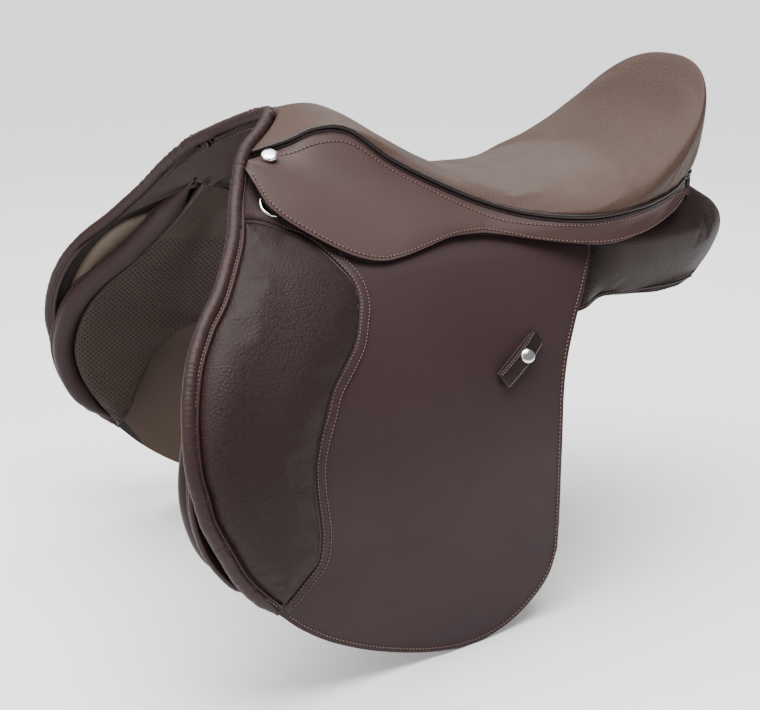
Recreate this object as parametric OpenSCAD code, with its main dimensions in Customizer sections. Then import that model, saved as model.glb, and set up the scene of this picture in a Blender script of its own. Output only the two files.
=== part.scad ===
// English riding saddle. Millimetres. +X runs from the pommel to the cantle, +Z is up, and
// the saddle is symmetric about the plane Y = 0. The left side is the side at -Y.
// Heights in the lists below are counted from the lowest edge of the flaps. Every solid is
// then lowered by rest_z, so that the origin is the middle of the place where the panels rest.

/* [Leather] */
// Thickness of the flaps
flap_t = 4; // [3:0.5:5]
// Thickness of the skirts
skirt_t = 3.5; // [2.5:0.5:4]
// Thickness of the seat leather
cover_t = 2.5; // [2:0.5:3]
// Thickness of the sweat flaps
sweat_t = 3; // [2.5:0.5:3.5]
// Radius of the rolled binding along the front edges
binding_r = 5.5; // [4:0.5:6]
// Radius of the piping round the seat
welt_r = 2.5; // [2:0.5:3]

/* [Padding] */
// Height of the knee pads above the flaps
knee_h = 13; // [8:1:18]
// Thickness of the seat foam
foam_t = 11; // [8:1:12]
// Radius of the rolled front edge of the panels
roll_r = 9; // [7:0.5:10]
// Thickness of the panels in front of the girth
panel_t = 26; // [20:1:32]

/* [Girth straps] */
// Width of a girth strap
strap_w = 25; // [22:1:28]
// Thickness of a girth strap
strap_t = 4; // [3:0.5:4]
// Radius of a punched hole
hole_r = 2.5; // [2:0.25:3]
// Distance between two holes
hole_pitch = 25; // [22:1:26]
// Number of holes in each strap
hole_n = 6; // [3:1:7]

/* [Metal fittings] */
// Radius of the nail head at the front of each skirt
nail_r = 7; // [5:0.5:8]
// Radius of the stud on each stirrup leather keeper
stud_r = 6; // [4:0.5:6.5]
// Radius of the D-ring, to the middle of its wire
ring_r = 11; // [10:0.5:12]
// Radius of the D-ring's wire
ring_wire = 1.5; // [1:0.25:1.5]
// Length of the stirrup bar
bar_len = 62; // [58:1:64]
// Radius of the pin of the safety catch
pin_r = 1.5; // [1.2:0.1:1.6]

/* [Hidden] */

// Height of the resting place above the lowest edge of the flaps
rest_z = 280;
// Small gap between neighbouring pieces
gap = 0.6;

// Colours of the materials
brown = [0.36, 0.28, 0.26];
dark_brown = [0.24, 0.18, 0.17];
seat_brown = [0.45, 0.38, 0.34];
tan = [0.48, 0.41, 0.33];
bright = [0.82, 0.82, 0.84];

// ---- Curves and surfaces -------------------------------------------------------------

function mix(a, b, t) = a + (b - a) * t;
function clamp01(t) = min(max(t, 0), 1);
function smooth(a, b, x) = let (t = clamp01((x - a) / (b - a))) t * t * (3 - 2 * t);

// Smooth curve through the points P, for t from 0 to 1
function spline(P, t) =
  let (n = len(P) - 1, s = clamp01(t) * n, i = min(floor(s), n - 1), f = s - i,
       b = P[i], c = P[i + 1],
       a = i > 0 ? P[i - 1] : 2 * b - c,
       d = i + 2 > n ? 2 * c - b : P[i + 2])
  b + 0.5 * f * ((c - a) + f * ((2 * a - 5 * b + 4 * c - d) + f * (3 * (b - c) + d - a)));

// A flat curve moved sideways by d, to the left of its direction
function beside(P, t, d) =
  let (q = spline(P, t + 0.01) - spline(P, t - 0.01))
  spline(P, t) + d * [-q[1], q[0]] / norm(q);

// Patch between four flat curves: bottom, top, front and rear
function patch(b, t, f, r, u, v) =
  mix(b(u), t(u), v) + mix(f(v), r(v), u) - mix(mix(b(0), b(1), u), mix(t(0), t(1), u), v);

// Half width of the saddle at the outside of the flaps. Below full_z the side is flat, and
// above it the side closes over the horse's barrel. It widens towards the front.
full_w = 195;
full_z = 140;
function side(x, z) =
  full_w * (1 - pow(max(z - full_z, 0) / 310, 2.2)) * (1 - 0.001 * (x + 50));

// Point of the left side at [x, z], moved out by d
function on_side(p, d) = [p[0], -side(p[0], p[1]) - d, p[1]];

// ---- Solids from surfaces ------------------------------------------------------------

// Faces of a closed sheet whose two skins are (nu + 1) by (nv + 1) grids
function sheet_faces(nu, nv) =
  let (m = (nu + 1) * (nv + 1), id = function(i, j) i * (nv + 1) + j)
  concat(
    [for (i = [0:nu - 1], j = [0:nv - 1], k = [0, 1])
      k == 0 ? [id(i, j), id(i, j + 1), id(i + 1, j + 1)]
             : [id(i, j), id(i + 1, j + 1), id(i + 1, j)]],
    [for (i = [0:nu - 1], j = [0:nv - 1], k = [0, 1])
      k == 0 ? [m + id(i, j), m + id(i + 1, j + 1), m + id(i, j + 1)]
             : [m + id(i, j), m + id(i + 1, j), m + id(i + 1, j + 1)]],
    [for (i = [0:nu - 1], k = [0, 1])
      k == 0 ? [id(i, 0), id(i + 1, 0), m + id(i + 1, 0)]
             : [id(i, 0), m + id(i + 1, 0), m + id(i, 0)]],
    [for (i = [0:nu - 1], k = [0, 1])
      k == 0 ? [id(i, nv), m + id(i + 1, nv), id(i + 1, nv)]
             : [id(i, nv), m + id(i, nv), m + id(i + 1, nv)]],
    [for (j = [0:nv - 1], k = [0, 1])
      k == 0 ? [id(0, j), m + id(0, j + 1), id(0, j + 1)]
             : [id(0, j), m + id(0, j), m + id(0, j + 1)]],
    [for (j = [0:nv - 1], k = [0, 1])
      k == 0 ? [id(nu, j), id(nu, j + 1), m + id(nu, j + 1)]
             : [id(nu, j), m + id(nu, j + 1), m + id(nu, j)]]);

// Closed sheet between the surfaces top(u, v) and under(u, v), each over 0 to 1
module sheet(top, under, nu, nv)
  translate([0, 0, -rest_z])
    polyhedron(
      points = [for (f = [top, under], i = [0:nu], j = [0:nv]) f(i / nu, j / nv)],
      faces = sheet_faces(nu, nv), convexity = 8);

// Rod of the given outline swept along the points P. flat is a direction that the first
// axis of the outline keeps close to.
function rod_ring(P, i, outline, flat) =
  let (n = len(P) - 1, t = P[min(i + 1, n)] - P[max(i - 1, 0)], d = t / norm(t),
       a0 = flat - d * (flat * d), a = a0 / norm(a0), b = cross(d, a))
  [for (q = outline) P[i] + a * q[0] + b * q[1]];

module rod(P, outline, flat) {
  n = len(P) - 1;
  m = len(outline);
  translate([0, 0, -rest_z])
    polyhedron(
      points = [for (i = [0:n], q = rod_ring(P, i, outline, flat)) q],
      faces = concat(
        [[for (j = [0:m - 1]) j]],
        [[for (j = [m - 1:-1:0]) n * m + j]],
        [for (i = [0:n - 1], j = [0:m - 1], k = [0, 1])
          let (a = i * m + j, b = i * m + (j + 1) % m)
          k == 0 ? [a, a + m, b + m] : [a, b + m, b]]),
      convexity = 6);
}

function round_outline(r, n = 8) = [for (i = [0:n - 1]) r * [cos(i * 360 / n), sin(i * 360 / n)]];
function flat_outline(w, t) = [[-w / 2, -t / 2], [w / 2, -t / 2], [w / 2, t / 2], [-w / 2, t / 2]];

// Moves an exact solid to p and turns its +Z to the direction n
module facing(p, n)
  translate(p - [0, 0, rest_z])
    rotate([0, acos(n[2] / norm(n)), atan2(n[1], n[0])])
      children();

module right() mirror([0, 1, 0]) children();

// ---- Guide curves --------------------------------------------------------------------

// Middle line of the seat [x, z], from the pommel to the foot of the cantle
seat_mid = [[-147, 437], [-120, 438], [-96, 430], [-65, 411], [-28, 389], [10, 376],
            [55, 372], [105, 381], [155, 401], [205, 433], [240, 462], [260, 475],
            [272, 455], [265, 415], [248, 374]];
// The way into the seat from each point of its middle line
seat_in = [[0, -1], [0, -1], [0, -1], [0, -1], [0, -1], [0, -1], [0, -1], [0, -1],
           [0, -1], [0.1, -1], [0, -0.9], [-0.5, -0.9], [-0.9, -0.3], [-0.9, 0], [-0.9, 0]];
// Seam of the seat on the left side [x, y, z]
seat_seam = [[-192, -50, 411], [-160, -59, 421], [-136, -62, 430], [-108, -65, 428],
             [-74, -75, 403], [-36, -86, 382], [4, -100, 364], [45, -117, 353],
             [94, -131, 349], [140, -131, 353], [172, -122, 358], [194, -112, 363],
             [203, -106, 366], [210, -102, 369], [215, -97, 372]];
// How square the seat is across: 2 is an ellipse
seat_square = [1.35, 1.6, 2, 2.3, 2.4, 2.4, 2.4, 2.4, 2.5, 2.6, 2.5, 2.4, 2.3, 2.2, 2.2];

// Point of the seat: u from front to rear, t from -1 at the left seam to 1 at the right,
// d is the depth under the leather's surface
function seat(u, t, d = 0) =
  let (m = spline(seat_mid, u) + d * spline(seat_in, u),
       s = spline(seat_seam, u) + d * [-0.1, 0.9, -0.3],
       n = spline(seat_square, u),
       h = pow(max(1 - pow(abs(t), n), 0), 1 / n))
  [mix(s[0], m[0], h), -s[1] * t, mix(s[2], m[1], h)];

// Front edge of the flap [x, z], above and below the line where the flap bends
flap_front_top = [[-204, 413], [-214, 398], [-225, 381], [-235, 361], [-247, 344], [-260, 328]];
flap_front_low = [[-262, 325], [-279, 308], [-296, 283], [-307, 250], [-310, 215],
                  [-302, 172], [-277, 121], [-245, 84]];
// Lower and rear edges of the flap
flap_bottom = [[-236, 91], [-220, 67], [-190, 46], [-145, 24], [-90, 6], [-47, 1], [-12, 8], [15, 23],
               [33, 41], [42, 64]];
flap_rear = [[42, 64], [43, 105], [43, 152], [46, 199], [54, 232], [69, 262], [86, 288],
             [103, 316]];
// Line where the flap bends when it is lifted, just below the skirt
bend_a = [-255, -161.5, 327];
bend_b = [104, -119.5, 318];
function bend_z(x) = mix(bend_a[2], bend_b[2], (x - bend_a[0]) / (bend_b[0] - bend_a[0]));
bend_gap = 1.5;

// Line where the skirt bends when it is lifted
lift_a = [-200, -74, 407];
lift_b = [-8, -118, 344];
// Lower edge of the moving skirt, from its front corner to the rear end of the bulge
skirt_edge = [[-205, -86, 399], [-199, -110, 380], [-185, -122, 366], [-160, -133, 350],
              [-135, -140, 336], [-112, -140, 331], [-90, -136, 332], [-65, -129, 336],
              [-38, -121, 341], [-12, -119, 339]];
// Lower edge of the fixed skirt behind the bulge
band_edge = [[-8, -118, 342], [14, -120, 337], [42, -124, 332], [82, -131, 326],
             [111, -134, 325], [138, -132, 328], [165, -124, 333], [195, -113, 344],
             [212, -104, 355]];

// Rear seam of the knee pad [x, z], from the bend line down to the flap's corner
pad_seam = [[-147, 319], [-143, 304], [-154, 279], [-176, 256], [-195, 225], [-206, 195],
            [-206, 165], [-204, 140], [-212, 117], [-238, 99]];

// Front edge of the panel's roll [x, z], from the gullet down to the lower corner
roll_front = [[-206, 372], [-214, 354], [-230, 326], [-255, 294], [-286, 262], [-304, 228],
              [-311, 188], [-305, 150], [-287, 119], [-262, 97]];

// Top edge, lower edge and end of the panel
panel_top = [[-188, 368], [-168, 337], [-120, 336], [-60, 328], [0, 324], [60, 324],
             [120, 332], [180, 338], [225, 342], [246, 344]];
panel_low = [[-250, 100], [-238, 116], [-226, 148], [-206, 188], [-160, 214], [-90, 234],
             [0, 252], [100, 267], [170, 261], [220, 264], [248, 272]];
panel_end = [[248, 272], [264, 289], [271, 306], [269, 326], [246, 344]];

// ---- Tree and metal ------------------------------------------------------------------

tree_d = foam_t + 7;
tree_t = 8;

// One plate of the tree under the seat, over u and t
module tree_plate(u0, u1, t0, t1, nu, nv)
  sheet(function(u, v) seat(mix(u0, u1, u), mix(t0, t1, v), tree_d),
        function(u, v) seat(mix(u0, u1, u), mix(t0, t1, v), tree_d + tree_t), nu, nv);

// Block that carries a stirrup bar, between the bar's plate and the rail
bar_plate_y = -80;
module bar_block()
  hull() {
    translate([-152, bar_plate_y, 344 - rest_z]) cube([64, 12, 30]);
    translate([-146, -56, 399 - rest_z]) cube([56, 8, 6]);
  }

module tree() color([0.16, 0.16, 0.17]) {
  tree_plate(0.06, 0.75, -0.86, -0.5, 18, 3);
  tree_plate(0.06, 0.75, 0.5, 0.86, 18, 3);
  tree_plate(0.05, 0.17, -0.86, 0.86, 3, 10);
  tree_plate(0.66, 0.86, -0.86, 0.86, 6, 10);
  bar_block();
  right() bar_block();
}

// Middle line of the steel arch, left half
plate_half = [[-150, 0, 399], [-152, -16, 397.5], [-156, -30, 393], [-161, -42, 387],
              [-164, -52, 381], [-166, -60, 375], [-167, -67, 369]];
module gullet_plate() color([0.45, 0.46, 0.48]) {
  half = [for (i = [1:12]) spline(plate_half, i / 12)];
  rod(concat([for (i = [11:-1:0]) [half[i][0], -half[i][1], half[i][2]]],
             [plate_half[0]], half),
      flat_outline(24, 4), [1, 0, 0]);
}

module screw(p, n) facing(p, n) {
  cylinder(r = 4.5, h = 2.5, $fn = 32);
}

module screw_pair()
  for (t = [0.42, 0.62]) {
    p = spline(plate_half, t);
    q = spline(plate_half, t + 0.02) - spline(plate_half, t - 0.02);
    n = cross([1, 0, 0], q / norm(q));
    screw(p + n / norm(n) * 2.3, n);
  }

module gullet_screws() color(bright) {
  screw_pair();
  right() screw_pair();
}

bar_y = -96.75;
bar_z = 352;
bar_front = -160;
bar_t = 6.5;
bar_h = 10;
bar_end = bar_front + bar_len;
catch_t = 3;
rivet_x = [-148, -124, -100];

// Box from its low corner to its high corner
module block(a, b) translate(a - [0, 0, rest_z]) cube(b - a);

module round_y(p, r, h) translate(p - [0, 0, rest_z]) rotate([90, 0, 0])
  cylinder(r = r, h = h, center = true, $fn = 48);

module stirrup_bar_left() color([0.62, 0.63, 0.65]) {
  difference() {
    union() {
      block([bar_front, bar_plate_y - 4, 343], [-88, bar_plate_y, 374]);
      block([bar_front, bar_y - bar_t / 2, bar_z - bar_h / 2],
            [bar_front + 9, bar_plate_y - 2, bar_z + bar_h / 2]);
      block([bar_front, bar_y - bar_t / 2, bar_z - bar_h / 2],
            [bar_end - 5, bar_y + bar_t / 2, bar_z + bar_h / 2]);
      round_y([bar_end - 5, bar_y, bar_z], bar_h / 2, bar_t);
    }
    // Slot for the catch
    block([bar_end - 13, bar_y - catch_t / 2 - 0.3, bar_z - 9],
          [bar_end + 9, bar_y + catch_t / 2 + 0.3, bar_z + 9]);
    for (x = rivet_x) round_y([x, bar_plate_y - 2, 366], 3, 10);
  }
  // Pin of the catch, across the slot
  round_y([bar_end - 5, bar_y, bar_z], pin_r, bar_t - 0.5);
}
module stirrup_bar_right() right() stirrup_bar_left();

module bar_catch_left() color([0.62, 0.63, 0.65])
  difference() {
    union() {
      round_y([bar_end - 5, bar_y, bar_z], bar_h / 2 - 0.5, catch_t);
      block([bar_end - 5, bar_y - catch_t / 2, bar_z - bar_h / 2 + 0.5],
            [bar_end + 9, bar_y + catch_t / 2, bar_z]);
    }
    round_y([bar_end - 5, bar_y, bar_z], pin_r + 0.08, 20);
  }
module bar_catch_right() right() bar_catch_left();

module rivet_row()
  for (x = rivet_x) {
    round_y([x, bar_plate_y - 2, 366], 2.9, 3.8);
    round_y([x, bar_plate_y - 5, 366], 5, 1.9);
  }
module stirrup_bar_rivets() color(bright) {
  rivet_row();
  right() rivet_row();
}

// Domed stud: a flat rim with a low dome on it
module stud(r, h)
  rotate_extrude($fn = 64)
    polygon(concat([[0, 0], [r, 0]],
                   [for (i = [0:8]) [r * cos(i * 11.25), h * 0.35 + h * 0.65 * sin(i * 11.25)]]));

// ---- Seat ----------------------------------------------------------------------------

module seat_webbing() color([0.78, 0.74, 0.66])
  sheet(function(u, v) seat(mix(0.2, 0.72, u), mix(-0.46, 0.46, v), foam_t + 4),
        function(u, v) seat(mix(0.2, 0.72, u), mix(-0.46, 0.46, v), foam_t + 5.5), 10, 5);

module seat_foam() color([0.85, 0.8, 0.68])
  sheet(function(u, v) seat(mix(0.03, 0.9, u), mix(-0.92, 0.92, v), cover_t + 1.5),
        function(u, v) seat(mix(0.03, 0.9, u), mix(-0.92, 0.92, v), cover_t + foam_t), 26, 10);

// The rows are closer together near the seams, where the seat curves most
function seat_t(v) = sin(180 * (v - 0.5));
module seat_cover() color(seat_brown)
  sheet(function(u, v) seat(mix(0.01, 1, u), seat_t(v)),
        function(u, v) seat(mix(0.01, 1, u), seat_t(v), cover_t), 30, 14);

// Line of the piping round the seat, left half: the seam, then the foot of the cantle
function welt_line(s) =
  (s < 0.75 ? seat(s / 0.75, -1) : seat(1, -sin(90 * (1 - s) / 0.25))) - [0, 0, welt_r + 1.5];
module seat_welt() color(dark_brown) {
  half = [for (i = [1:34]) welt_line(i / 35)];
  rod(concat(half, [welt_line(1)],
             [for (i = [33:-1:0]) [half[i][0], -half[i][1], half[i][2]]]),
      round_outline(welt_r), [0, 0, 1]);
}

// Strip under the piping at the back of the cantle
module cantle_facing() color(brown)
  sheet(function(u, v) seat(1, mix(-0.98, 0.98, u)) + [1, 0, mix(-7.5, -24, 1 - v)],
        function(u, v) seat(1, mix(-0.98, 0.98, u)) + [-2, 0, mix(-7.5, -24, 1 - v)], 14, 2);

// ---- Skirts --------------------------------------------------------------------------

// Seam side of the skirt, just below the piping
function skirt_seam(u) =
  spline(seat_seam, u) + [0, -1.5, -2 * welt_r - 2.2];
// Lower side of the fixed skirt: the bend line, then the edge behind the bulge
function skirt_low(u) =
  u < 0.42 ? mix(lift_a, lift_b, u / 0.42) : spline(band_edge, (u - 0.42) / 0.58);

function skirt_top_at(u, v) =
  mix(skirt_low(u), skirt_seam(mix(0.01, 0.98, u)), v) + 4 * v * (1 - v) * [0, -1.5, 1.5];

// Way into both skirts where they bend, and into the fixed one from front to rear
lift_in = [0, 0.6, -0.8];
skirt_in = [[0, 0.2, -1], [0, 0.6, -0.8], [0, 0.75, -0.65], [0, 0.94, -0.35], [0, 1, -0.1],
            [0, 1, -0.1]];
module skirt_top_left() color(brown)
  sheet(function(u, v) skirt_top_at(u, v) + [0, 0, 0.8 * (1 - v)],
        function(u, v) skirt_top_at(u, v)
          + skirt_t * mix(mix(lift_in, [0, 1, -0.1], smooth(0.4, 0.55, u)), spline(skirt_in, u), v),
        24, 3);
module skirt_top_right() right() skirt_top_left();

function skirt_at(u, v) =
  mix(mix(lift_a, lift_b, u), spline(skirt_edge, u), v) + 4 * v * (1 - v) * [0, -3, 2];

module skirt_left() color(brown)
  sheet(function(u, v) skirt_at(u, mix(1, 0.05, v)),
        function(u, v) skirt_at(u, mix(1, 0.05, v)) + skirt_t * lift_in, 18, 5);
module skirt_right() right() skirt_left();

nail_at = skirt_top_at(0.032, 0.5);
module nail() facing(nail_at + [-0.2, -0.7, 2.2], [-0.15, -0.5, 0.85]) stud(nail_r, 3.5);
module head_nails() color(bright) {
  nail();
  right() nail();
}

// ---- Flaps ---------------------------------------------------------------------------

// Window in the flap that shows the stirrup bar, under the skirt
bar_window = [[-158, 347], [-84, 374]];

inset = 2 * binding_r + gap;

module flap_left() color(brown) {
  b = function(u) spline(flap_bottom, u);
  t = function(u) let (x = mix(-262 + inset * 1.3, 103, u)) [x, bend_z(x) - bend_gap];
  f = function(v) mix(beside(flap_front_low, 1 - v, inset), flap_bottom[0],
                      pow(1 - v, 12));
  r = function(v) spline(flap_rear, v);
  at = function(u, v) patch(b, t, f, r, u, v);
  sheet(function(u, v) on_side(at(u, v), 0), function(u, v) on_side(at(u, v), -flap_t), 14, 16);
}
module flap_right() right() flap_left();

// How far the upper flap sinks in under the skirts
function sunk(p) = 5 * smooth(316, 338, p[1]) * smooth(-224, -206, p[0]);
flap_top_edge = [[-202, 395], [-150, 391], [-100, 381], [-50, 363], [0, 346], [50, 337],
                 [103, 333]];
module flap_top_left() color(brown) {
  b = function(u) let (x = mix(-260 + inset * 1.3, 103, u)) [x, bend_z(x) + bend_gap];
  t = function(u) spline(flap_top_edge, u);
  f = function(v) beside(flap_front_top, 1 - 0.85 * v, inset);
  r = function(v) mix([103, bend_z(103) + bend_gap], [103, 333], v);
  at = function(u, v) patch(b, t, f, r, u, v);
  difference() {
    sheet(function(u, v) on_side(at(u, v), -sunk(at(u, v))),
          function(u, v) on_side(at(u, v), -sunk(at(u, v)) - flap_t), 16, 6);
    block([bar_window[0][0], -140, bar_window[0][1]], [bar_window[1][0], -60, bar_window[1][1]]);
  }
}
module flap_top_right() right() flap_top_left();

// Rolled binding of the flap's front edge below the bend line
function binding_low(t) = on_side(beside(flap_front_low, t, binding_r), -flap_t / 2);
module flap_binding_left() color(dark_brown)
  rod([for (i = [0:18]) binding_low(mix(0.06, 0.985, i / 18))], round_outline(binding_r),
      [0.3, 1, 0]);
module flap_binding_right() right() flap_binding_left();

// Rolled binding above the bend line and over the pommel
function binding_top(s) =
  s < 0.45 ? on_side(beside(flap_front_top, 1 - s / 0.45, binding_r), -flap_t / 2)
           : seat(0, mix(-0.93, 0, (s - 0.45) / 0.55)) + [-binding_r - 2.5, 0, -2];
module pommel_binding() color(dark_brown) {
  half = [for (i = [0:17]) if (i != 8) binding_top(mix(0.03, 1, i / 18))];
  rod(concat(half, [binding_top(1)],
             [for (i = [len(half) - 1:-1:0]) [half[i][0], -half[i][1], half[i][2]]]),
      round_outline(binding_r), [1, 0, 0.3]);
}

// Knee pad on the front of the flap
module knee_pad_left() color(dark_brown) {
  t = function(u) let (x = mix(-262 + inset * 1.3, -148, u)) [x, bend_z(x) - 4];
  f = function(v) beside(flap_front_low, 0.93 * (1 - v), inset + 1);
  b = function(u) mix(f(0), pad_seam[len(pad_seam) - 1], u);
  r = function(v) spline(pad_seam, 1 - v);
  at = function(u, v) patch(b, t, f, r, u, v);
  crown = function(u, v) pow(clamp01(16 * u * (1 - u) * min(v * 2, 1, (1 - v) * 6) / 2), 0.5);
  sheet(function(u, v) on_side(at(u, v), 1.5 + (knee_h - 1.5) * crown(u, v)),
        function(u, v) on_side(at(u, v), gap), 8, 14);
}
module knee_pad_right() right() knee_pad_left();

// Flat border behind the knee pad
module pad_border_left() color(brown)
  sheet(function(u, v) on_side(beside(pad_seam, mix(0.04, 0.95, u), mix(1.5, 10.5, v)), 2.5),
        function(u, v) on_side(beside(pad_seam, mix(0.04, 0.95, u), mix(1.5, 10.5, v)), gap),
        22, 1);
module pad_border_right() right() pad_border_left();

// Keeper for the end of the stirrup leather: a short strap that stands off the flap
keeper_a = [-21, 229];
keeper_b = [25, 257];
keeper_w = 15;
function keeper_at(u, v, d) =
  let (q = (keeper_b - keeper_a) / norm(keeper_b - keeper_a))
  on_side(mix(keeper_a, keeper_b, u) + (v - 0.5) * keeper_w * [-q[1], q[0]], d);
function keeper_rise(u) = gap + 3 * pow(sin(180 * clamp01(u)), 0.5);
module keeper_left() color(dark_brown)
  sheet(function(u, v) keeper_at(u, v, keeper_rise(u) + 3),
        function(u, v) keeper_at(u, v, keeper_rise(u)), 10, 1);
module keeper_right() right() keeper_left();

module keeper_stud_left() color(bright)
  facing(keeper_at(0.58, 0.5, keeper_rise(0.58) + 5.3), [-0.19, -0.93, 0.45]) stud(stud_r, 3);
module keeper_stud_right() right() keeper_stud_left();

// ---- Under the flaps -----------------------------------------------------------------

sweat_d = flap_t + 13;

module sweat_flap_left() color(tan) {
  top = [[-226, 325], [-180, 332], [-120, 334], [-60, 325], [-20, 320], [20, 316], [50, 312]];
  low = [[-248, 104], [-236, 125], [-222, 158], [-190, 200], [-140, 190], [-105, 110],
         [-70, 66], [-20, 58], [26, 80]];
  front = [[-248, 104], [-280, 124], [-295, 152], [-300, 185], [-294, 225], [-276, 260],
           [-248, 292], [-226, 325]];
  rear = [[26, 80], [28, 130], [30, 190], [36, 250], [50, 312]];
  at = function(u, v) patch(function(s) spline(low, s), function(s) spline(top, s),
                            function(s) spline(front, s), function(s) spline(rear, s), u, v);
  sheet(function(u, v) on_side(at(u, v), -sweat_d),
        function(u, v) on_side(at(u, v), -sweat_d - sweat_t), 16, 12);
}
module sweat_flap_right() right() sweat_flap_left();

// Knee block between the flap and the sweat flap
module knee_block_left() color(tan) {
  a = [[-234, 322], [-252, 296], [-276, 262], [-288, 225]];
  b = [[-205, 322], [-222, 290], [-246, 258], [-262, 225]];
  at = function(u, v) mix(spline(a, 1 - v), spline(b, 1 - v), u);
  crown = function(u, v) pow(clamp01(4 * u * (1 - u)) * clamp01(6 * v * (1 - v)), 0.4);
  sheet(function(u, v) on_side(at(u, v), -sweat_d + 1.5 + (sweat_d - flap_t - 3) * crown(u, v)),
        function(u, v) on_side(at(u, v), -sweat_d + gap), 5, 9);
}
module knee_block_right() right() knee_block_left();

// Half width of the panel's inner face, which rests on the horse
function rest_face(x, z) =
  mix(side(x, z) - sweat_d - sweat_t - panel_t, max(34, 34 + (332 - z) * 0.9),
      smooth(-190, -70, x));
// Half width of the panel's outer face
function gusset_face(x, z) =
  mix(side(x, z) - sweat_d - sweat_t - gap,
      124 * sqrt(max(1 - pow((x - 110) / 205, 2), 0)) - 30 * pow(clamp01((340 - z) / 80), 2)
        - 10 * smooth(316, 336, z),
      smooth(92, 135, x));

// Cushion of the panel, made smaller all round by d, and thinner by slack
module cushion(d, slack = 0) {
  f = function(v) mix(beside(roll_front, 1 - v, 2 * roll_r + 3), panel_low[0], pow(1 - v, 8));
  at = function(u, v) patch(function(s) spline(panel_low, s), function(s) spline(panel_top, s),
                            f, function(s) spline(panel_end, s), u, v);
  ease = function(s) sqrt(1 - pow(1 - clamp01(s), 2));
  full = function(u, v) 0.1 + 0.9 * ease((v + 0.02) / 0.35) * ease((1 - u + 0.003) / 0.1)
                        * (0.6 + 0.4 * ease(u / 0.06));
  e = 0.004 * d;
  face = function(u, v, s)
    let (i = 0.002 * slack,
         p = at(mix(4 * e + i, 1 - e * 3 - i, u), mix(5 * e + i, 1 - 2.5 * e - i, v)),
         a = gusset_face(p[0], p[1]), b = rest_face(p[0], p[1]), m = (a + b) / 2)
    [p[0], -m - s * max((a - b) / 2 * full(u, v) - d - slack, 0.9 - 0.3 * slack), p[1]];
  sheet(function(u, v) face(u, v, 1), function(u, v) face(u, v, -1), 22, 8);
}
module panel_left() color(dark_brown) difference() {
  cushion(0);
  cushion(5);
}
module panel_right() right() panel_left();
module panel_fill_left() color([0.9, 0.88, 0.82]) cushion(5, 2);
module panel_fill_right() right() panel_fill_left();

// Roll along the panel's front edge
module panel_roll_left() color(dark_brown)
  rod([for (i = [0:20]) on_side(beside(roll_front, mix(0, 0.93, i / 20), roll_r),
                                -sweat_d - sweat_t - roll_r - 3)],
      round_outline(roll_r), [0.3, 1, 0]);
module panel_roll_right() right() panel_roll_left();

// Lining of the arch under the pommel
function lining_at(u, v, d) =
  let (t = 2 * v - 1, w = mix(54, 46, u) + d, a = 90 * t)
  [mix(-150 - 44 * pow(abs(t), 1.5), -40, u), w * sin(a),
   mix(360, 338, u) + (mix(31, 26, u) + d) * pow(max(cos(a), 0), 0.8)];
module gullet_lining() color([0.12, 0.1, 0.1])
  sheet(function(u, v) lining_at(u, v, 0), function(u, v) lining_at(u, v, -2), 8, 14);

// Web that joins the girth straps to the tree
module girth_web_left() color([0.8, 0.76, 0.68])
  sheet(function(u, v) on_side([mix(-62, 62, u), mix(282, 318, v)], -flap_t - 10.5),
        function(u, v) on_side([mix(-62, 62, u), mix(282, 318, v)], -flap_t - 12.2), 8, 3);
module girth_web_right() right() girth_web_left();

// Girth straps: length of the strap, and the x of each one's middle
strap_top = 306;
strap_low = 66;
strap_x = [-40, 0, 36];
module girth_strap(x) color(brown)
  difference() {
    sheet(function(u, v) on_side([x + (u - 0.5) * strap_w * (v < 0.02 ? 0.4 : 1),
                                  mix(strap_low, strap_top, v)], -flap_t - 4),
          function(u, v) on_side([x + (u - 0.5) * strap_w * (v < 0.02 ? 0.4 : 1),
                                  mix(strap_low, strap_top, v)], -flap_t - 4 - strap_t), 2, 16);
    for (i = [0:hole_n - 1])
      facing(on_side([x, strap_low + 18 + i * hole_pitch], -flap_t - 4 - strap_t / 2),
             [full_w * 0.001, -1, 0])
        cylinder(r = hole_r, h = 30, center = true, $fn = 32);
  }
module girth_strap_front_left() girth_strap(strap_x[0]);
module girth_strap_mid_left() girth_strap(strap_x[1]);
module girth_strap_rear_left() girth_strap(strap_x[2]);
module girth_strap_front_right() right() girth_strap(strap_x[0]);
module girth_strap_mid_right() right() girth_strap(strap_x[1]);
module girth_strap_rear_right() right() girth_strap(strap_x[2]);

// Ring under the front of each skirt, and the strap that holds it
ring_mid = [-188, 376];
ring_n = [-0.08, -0.71, 0.7];
module front_ring_left() color(bright)
  facing(on_side(ring_mid, 1), ring_n)
    rotate_extrude($fn = 64) translate([ring_r, 0]) circle(r = ring_wire, $fn = 24);
module front_ring_right() right() front_ring_left();

module ring_strap_left() color(dark_brown)
  sheet(function(u, v) on_side([mix(-190, -176, u), mix(385, 400, v)], -1.9),
        function(u, v) on_side([mix(-190, -176, u), mix(385, 400, v)], -4.4), 2, 3);
module ring_strap_right() right() ring_strap_left();

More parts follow.
